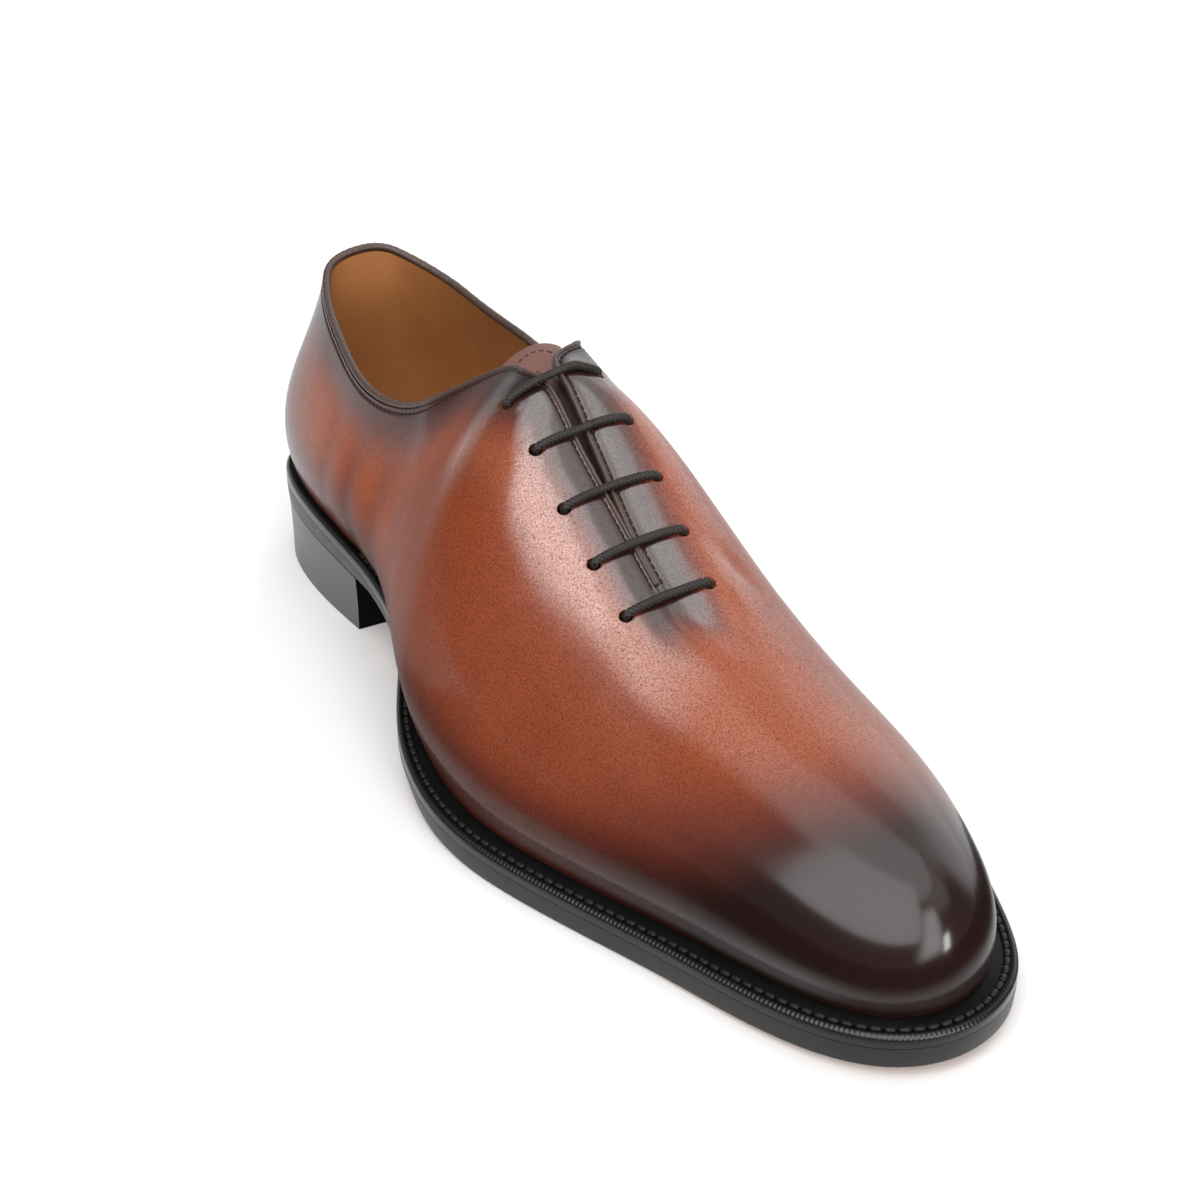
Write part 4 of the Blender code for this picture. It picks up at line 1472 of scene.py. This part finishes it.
def binding_mesh():
    """Oval rings along the edge from throat to throat, drawn to a point at both ends."""
    s = np.linspace(-BEAD_END_ROW, BEAD_END_ROW, BINDING_SECTIONS)
    turn = 2 * np.pi * np.arange(BINDING_SIDES) / BINDING_SIDES
    out = upper_normal(s, 1.0)
    edge = upper_surface(s, 1.0)
    up = unit(np.cross(out, upper_surface(s + NUDGE, 1.0) - upper_surface(s - NUDGE, 1.0)))
    on_slit = ease((np.abs(s) - 4.6) / 0.5)
    pucker = 1 + 0.015 * np.sin(95 * s) + 0.02 * np.sin(41 * s + 1)
    width = (BINDING_WIDTH + (BEAD_WIDTH - BINDING_WIDTH) * on_slit) * pucker
    height = (BINDING_HEIGHT + (BEAD_HEIGHT - BINDING_HEIGHT) * on_slit) * pucker
    lift = -WALL / 2 + (WALL / 2 - 0.55) * on_slit
    reach = 0.1 + height / 2 - (0.5 + BEAD_HEIGHT / 2) * on_slit
    lift = lift + pressed(np.abs(s), 0.0)
    middle = edge + out * lift[:, None] + up * reach[:, None]
    rings = (
        middle[:, None, :]
        + out[:, None, :] * np.cos(turn)[None, :, None] * width[:, None, None] / 2
        + up[:, None, :] * np.sin(turn)[None, :, None] * height[:, None, None] / 2
    )
    return tube("binding_roll", rings, middle)


def soft_calf_look(where, dark, light, roughness):
    """Plain calf with clouds and pores, for small parts."""
    clouds = cloud(where, 9.0, 3.0)
    pores = cloud(where, 0.6, 3.0)
    colour = mixed(0.7 * clouds + 0.3 * pores, dark, light)
    gloss = roughness + 0.12 * clouds
    return {"Base Color": colour, "Roughness": gloss, "Normal": raised(pores, 0.05, 0.5)}


binding_browns = ((0.035, 0.019, 0.014), (0.06, 0.034, 0.026))
binding_calf = make_finish("binding_calf", soft_calf_look, *binding_browns, 0.36)
place(binding_mesh(), binding_calf, ("collar_binding",))

# %% [markdown]
# ## Tongue
# The tongue lies under the facings. Its rounded end stands above them in the collar, with a row of stitches
# a few millimetres inside the edge. Fourteen rows give its shape, and cubic curves fill in between them.

# %% Tongue
TONGUE = table(
    "station down depth trim",
    (4.47, 0.5, 2.8, 0.3),
    (4.48, 0.5, 2.8, 0.22),
    (4.51, 0.8, 2.9, 0.12),
    (4.57, 1.5, 3.2, 0.04),
    (4.68, 4.0, 4.0, 0.0),
    (4.86, 10.0, 5.2, 0.0),
    (5.05, 18.0, 5.3, 0.0),
    (5.5, 23.0, 5.3, 0.0),
    (6.0, 24.0, 5.3, 0.0),
    (6.5, 24.0, 5.3, 0.0),
    (7.0, 22.0, 5.3, 0.0),
    (7.25, 20.0, 3.6, 0.0),
    (7.5, 16.0, 2.35, 0.0),
    (7.65, 12.0, 2.35, 0.0),
)
TONGUE_THICKNESS = 1.6
TONGUE_COLUMNS = 60
TONGUE_FILL = 6
CROWN = 3.4
MEDIAL_RISE = 1.8
MEDIAL_SPREAD = 6.0
TRIM_MEDIAL = 0.4
ARCH_FULLNESS = 0.9
# Painted shade on the tongue: from the first x to the second, in millimetres, its colour goes nearly black.
SHADE_BETWEEN_FACINGS_X = (126.0, 140.0)


def instep_arch(station, down, depth, share):
    """A curve over the collar's mouth, from a point so far down inside one wall to the same on the other."""
    ends = [facing_point(station, side * down, -depth) for side in (-1, 1)]
    rises = [facing_point(station, side * (down - 1), -depth) - end for side, end in zip((-1, 1), ends)]
    chord = np.linalg.norm(ends[1] - ends[0])
    leave, arrive = (rise / np.linalg.norm(rise) * chord * ARCH_FULLNESS for rise in rises)
    return hermite(ends[0], ends[1], leave, -arrive, share[:, None])


def through(rows, fill):
    """A Catmull-Rom curve through rows of points, with so many steps between rows."""
    ends = np.concatenate([2 * rows[:1] - rows[1:2], rows, 2 * rows[-1:] - rows[-2:-1]])
    u = np.linspace(0, len(rows) - 1, (len(rows) - 1) * fill + 1)
    k = np.minimum(u.astype(int), len(rows) - 2)
    t = (u - k).reshape(-1, *([1] * (rows.ndim - 1)))
    before, here, after, beyond = (ends[k + shift] for shift in range(4))
    return hermite(here, after, (after - before) / 2, (beyond - here) / 2, t)


def crowned_arch(station, down, depth, share):
    """The arch drawn up in the middle and out towards the medial facing, most at the tongue's end."""
    arch = instep_arch(station, down, depth, share)
    up = CROWN * np.sin(np.pi * share) ** 0.6 + MEDIAL_RISE * share**3
    drawn = np.stack([0 * share, MEDIAL_SPREAD * share**2, up], axis=-1)
    return arch + drawn * (1 - ease((station - 4.6) / 0.42))


def tongue_mesh():
    rows = []
    for station, down, depth, trim in zip(*TONGUE.values()):
        if station < FACING_ROW:
            share = np.linspace(trim, 1 - TRIM_MEDIAL * trim, TONGUE_COLUMNS + 1)
            rows.append(crowned_arch(station, down, depth, share))
        else:
            across = np.linspace(-down, down, TONGUE_COLUMNS + 1)
            rows.append(np.array([facing_point(station, reach, -depth) for reach in across]))
    points = through(np.array(rows), TONGUE_FILL)
    return make_mesh("tongue_leather", to_frame(points), quads(*points.shape[:2]))


def tongue_look(where):
    """Dusty rose calf at the end that shows, with painted shade further down, where it lies between the
    facings.
    """
    sockets = soft_calf_look(where, (0.1, 0.038, 0.028), (0.155, 0.065, 0.05), 0.55)
    start, end = ((x + TO_ROW[0]) * MM for x in SHADE_BETWEEN_FACINGS_X)
    # Painted shade: the tongue is coloured nearly black where it lies deep between the facings.
    in_shade = fade(part(where, "X"), start, end)
    sockets["Base Color"] = mixed(in_shade, sockets["Base Color"], (0.018, 0.006, 0.005))
    return sockets


tongue_calf = make_finish("tongue_calf", tongue_look)
tongue = place(tongue_mesh(), tongue_calf, ("tongue",))
thicken(tongue, TONGUE_THICKNESS)

# %% [markdown]
# ## Stitches on the tongue
# The row of stitches follows the tongue's rounded end. Seven places along the arc are enough, because the
# same curve as before runs through them.

# %% Tongue stitches
TONGUE_ARC = table(
    "share station",
    (0.1, 4.84),
    (0.2, 4.74),
    (0.35, 4.68),
    (0.5, 4.66),
    (0.65, 4.66),
    (0.8, 4.68),
    (0.92, 4.72),
)


def tongue_arc_path():
    """The row of stitches inside the tongue's end, on its outer face."""
    arc = []
    for share, station in zip(TONGUE_ARC["share"], TONGUE_ARC["station"]):
        down = np.interp(station, TONGUE["station"], TONGUE["down"])
        depth = np.interp(station, TONGUE["station"], TONGUE["depth"])
        arc.append(crowned_arch(station, down, depth, np.array([share]))[0])
    return through(np.array(arc), 12)


arc_places, arc_along, _ = evenly(tongue_arc_path(), UPPER_STITCH_PITCH)
arc_up = np.tile([-0.35, 0.0, 1.0], (len(arc_places), 1))
arc_mesh = bead_mesh("tongue_stitches", arc_places, arc_along, arc_up, (0.8, 0.24, 0.24))
place(arc_mesh, dark_thread)

# %% [markdown]
# ## Lace
# A waxed round cord, laced in straight bars: up through one eyelet, over, down through the other, and on to
# the next pair underneath. Both ends stop inside at the top eyelets. The route is a few points for each bar,
# with a smooth curve through them.

# %% Lace route
BAR = table(
    "share lift",
    (1.0, -3.65),
    (1.0, -1.3),
    (0.97, 0.3),
    (0.86, 0.75),
    (0.6, 0.95),
    (0.3, 1.2),
    (0.0, 1.4),
)
LACE_UNDER = BAR["lift"][0]


def bar_point(station, across, lift):
    """A point of the straight bar between the two eyelets at this station, over or under the leather."""
    ends = [eyelet_point(station, side) for side in (-1, 1)]
    middle = station_at_crest((ends[0][0] + ends[1][0]) / 2)
    share = abs(across) / eyelet_offset(station)
    return facing_point(middle + (station - middle) * share, across, lift)


def lace_route():
    """Up through an eyelet, over to the other side and down, then under to the next pair."""
    shares = np.concatenate([BAR["share"], -BAR["share"][-2::-1]])
    lifts = np.concatenate([BAR["lift"], BAR["lift"][-2::-1]])
    side = -1
    route = []
    for station in eyelet_stations:
        for share, lift in zip(shares, lifts):
            route.append(bar_point(station, side * share * eyelet_offset(station), lift))
        side = -side
    last = eyelet_stations[-1]
    for back, share in ((0.05, 0.6), (0.15, 0.2)):
        route.append(facing_point(last - back, side * share * eyelet_offset(last), LACE_UNDER))
    for station in np.linspace(last - 0.35, eyelet_stations[0], 2 * EYELET_PAIRS):
        route.append(facing_point(station, 0.0, LACE_UNDER))
    return np.array(route)


# %% [markdown]
# ## Cord
# The cord is a tube along the route whose radius swells where the strands of the braid cross: two families
# of spirals, one leaning each way. The cord's colour is a little lighter on these raised strands: a painted
# highlight.

# %% Lace cord
LACE_DIAMETER = 2.15
LACE_FILL = 14
LACE_SIDES = 32
BRAID_STRANDS = 8
BRAID_PITCH = 4.6
BRAID_RELIEF = 0.1


def carry_frame(path):
    """Two unit vectors square to a path at each of its points, turned as little as possible along it."""
    ahead = unit(np.gradient(path, axis=0))
    side = unit(np.cross(ahead[0], (0.0, 1.0, 0.3)))
    sides = []
    for heading in ahead:
        side = unit(side - heading * (side @ heading))
        sides.append(side)
    sides = np.array(sides)
    return sides, np.cross(ahead, sides)


def lace_mesh():
    """A tube of radius r (0.93 + relief x braid). The braid is the higher of two opposite spirals."""
    path = through(lace_route(), LACE_FILL)
    run = run_along(path)
    sides, ups = carry_frame(path)
    turn = 2 * np.pi * np.arange(LACE_SIDES) / LACE_SIDES
    lean = 2 * np.pi * run[:, None] / BRAID_PITCH
    strands = [np.cos(BRAID_STRANDS / 2 * (turn[None, :] + way * lean)) for way in (-1, 1)]
    braid = np.maximum(*strands)
    radius = LACE_DIAMETER / 2 * (0.93 + BRAID_RELIEF * braid)
    rings = path[:, None, :] + radius[..., None] * (
        sides[:, None, :] * np.cos(turn)[None, :, None] + ups[:, None, :] * np.sin(turn)[None, :, None]
    )
    raised_share = np.pad(braid, ((1, 1), (0, 0)), mode="edge").reshape(-1)
    maps = {"braid": np.stack([raised_share, 0 * raised_share], axis=-1)}
    print("lace length, mm:", run[-1].round(0))
    return tube("lace_cord", rings, path, maps)


def cord_look(where):
    fibres = cloud(where, 0.35, 3.0)
    wax = cloud(where, 3.0, 3.0)
    # Painted highlight: the raised strands of the braid are coloured lighter.
    lit = fade(stored(where, "braid"), 0.45, 1.0) * (0.4 + 0.9 * fibres)
    cord = mixed(0.5 * fibres + 0.5 * wax, (0.003, 0.0025, 0.002), (0.016, 0.012, 0.01))
    colour = mixed(0.35 * lit, cord, (0.075, 0.062, 0.052))
    return {
        "Base Color": colour,
        "Roughness": 0.4 + 0.3 * fibres,
        "Normal": raised(fibres, 0.15, 0.9),
        "Specular IOR Level": 0.3,
    }


waxed_cord = make_finish("waxed_cord", cord_look)
place(lace_mesh(), waxed_cord, ("lace",))
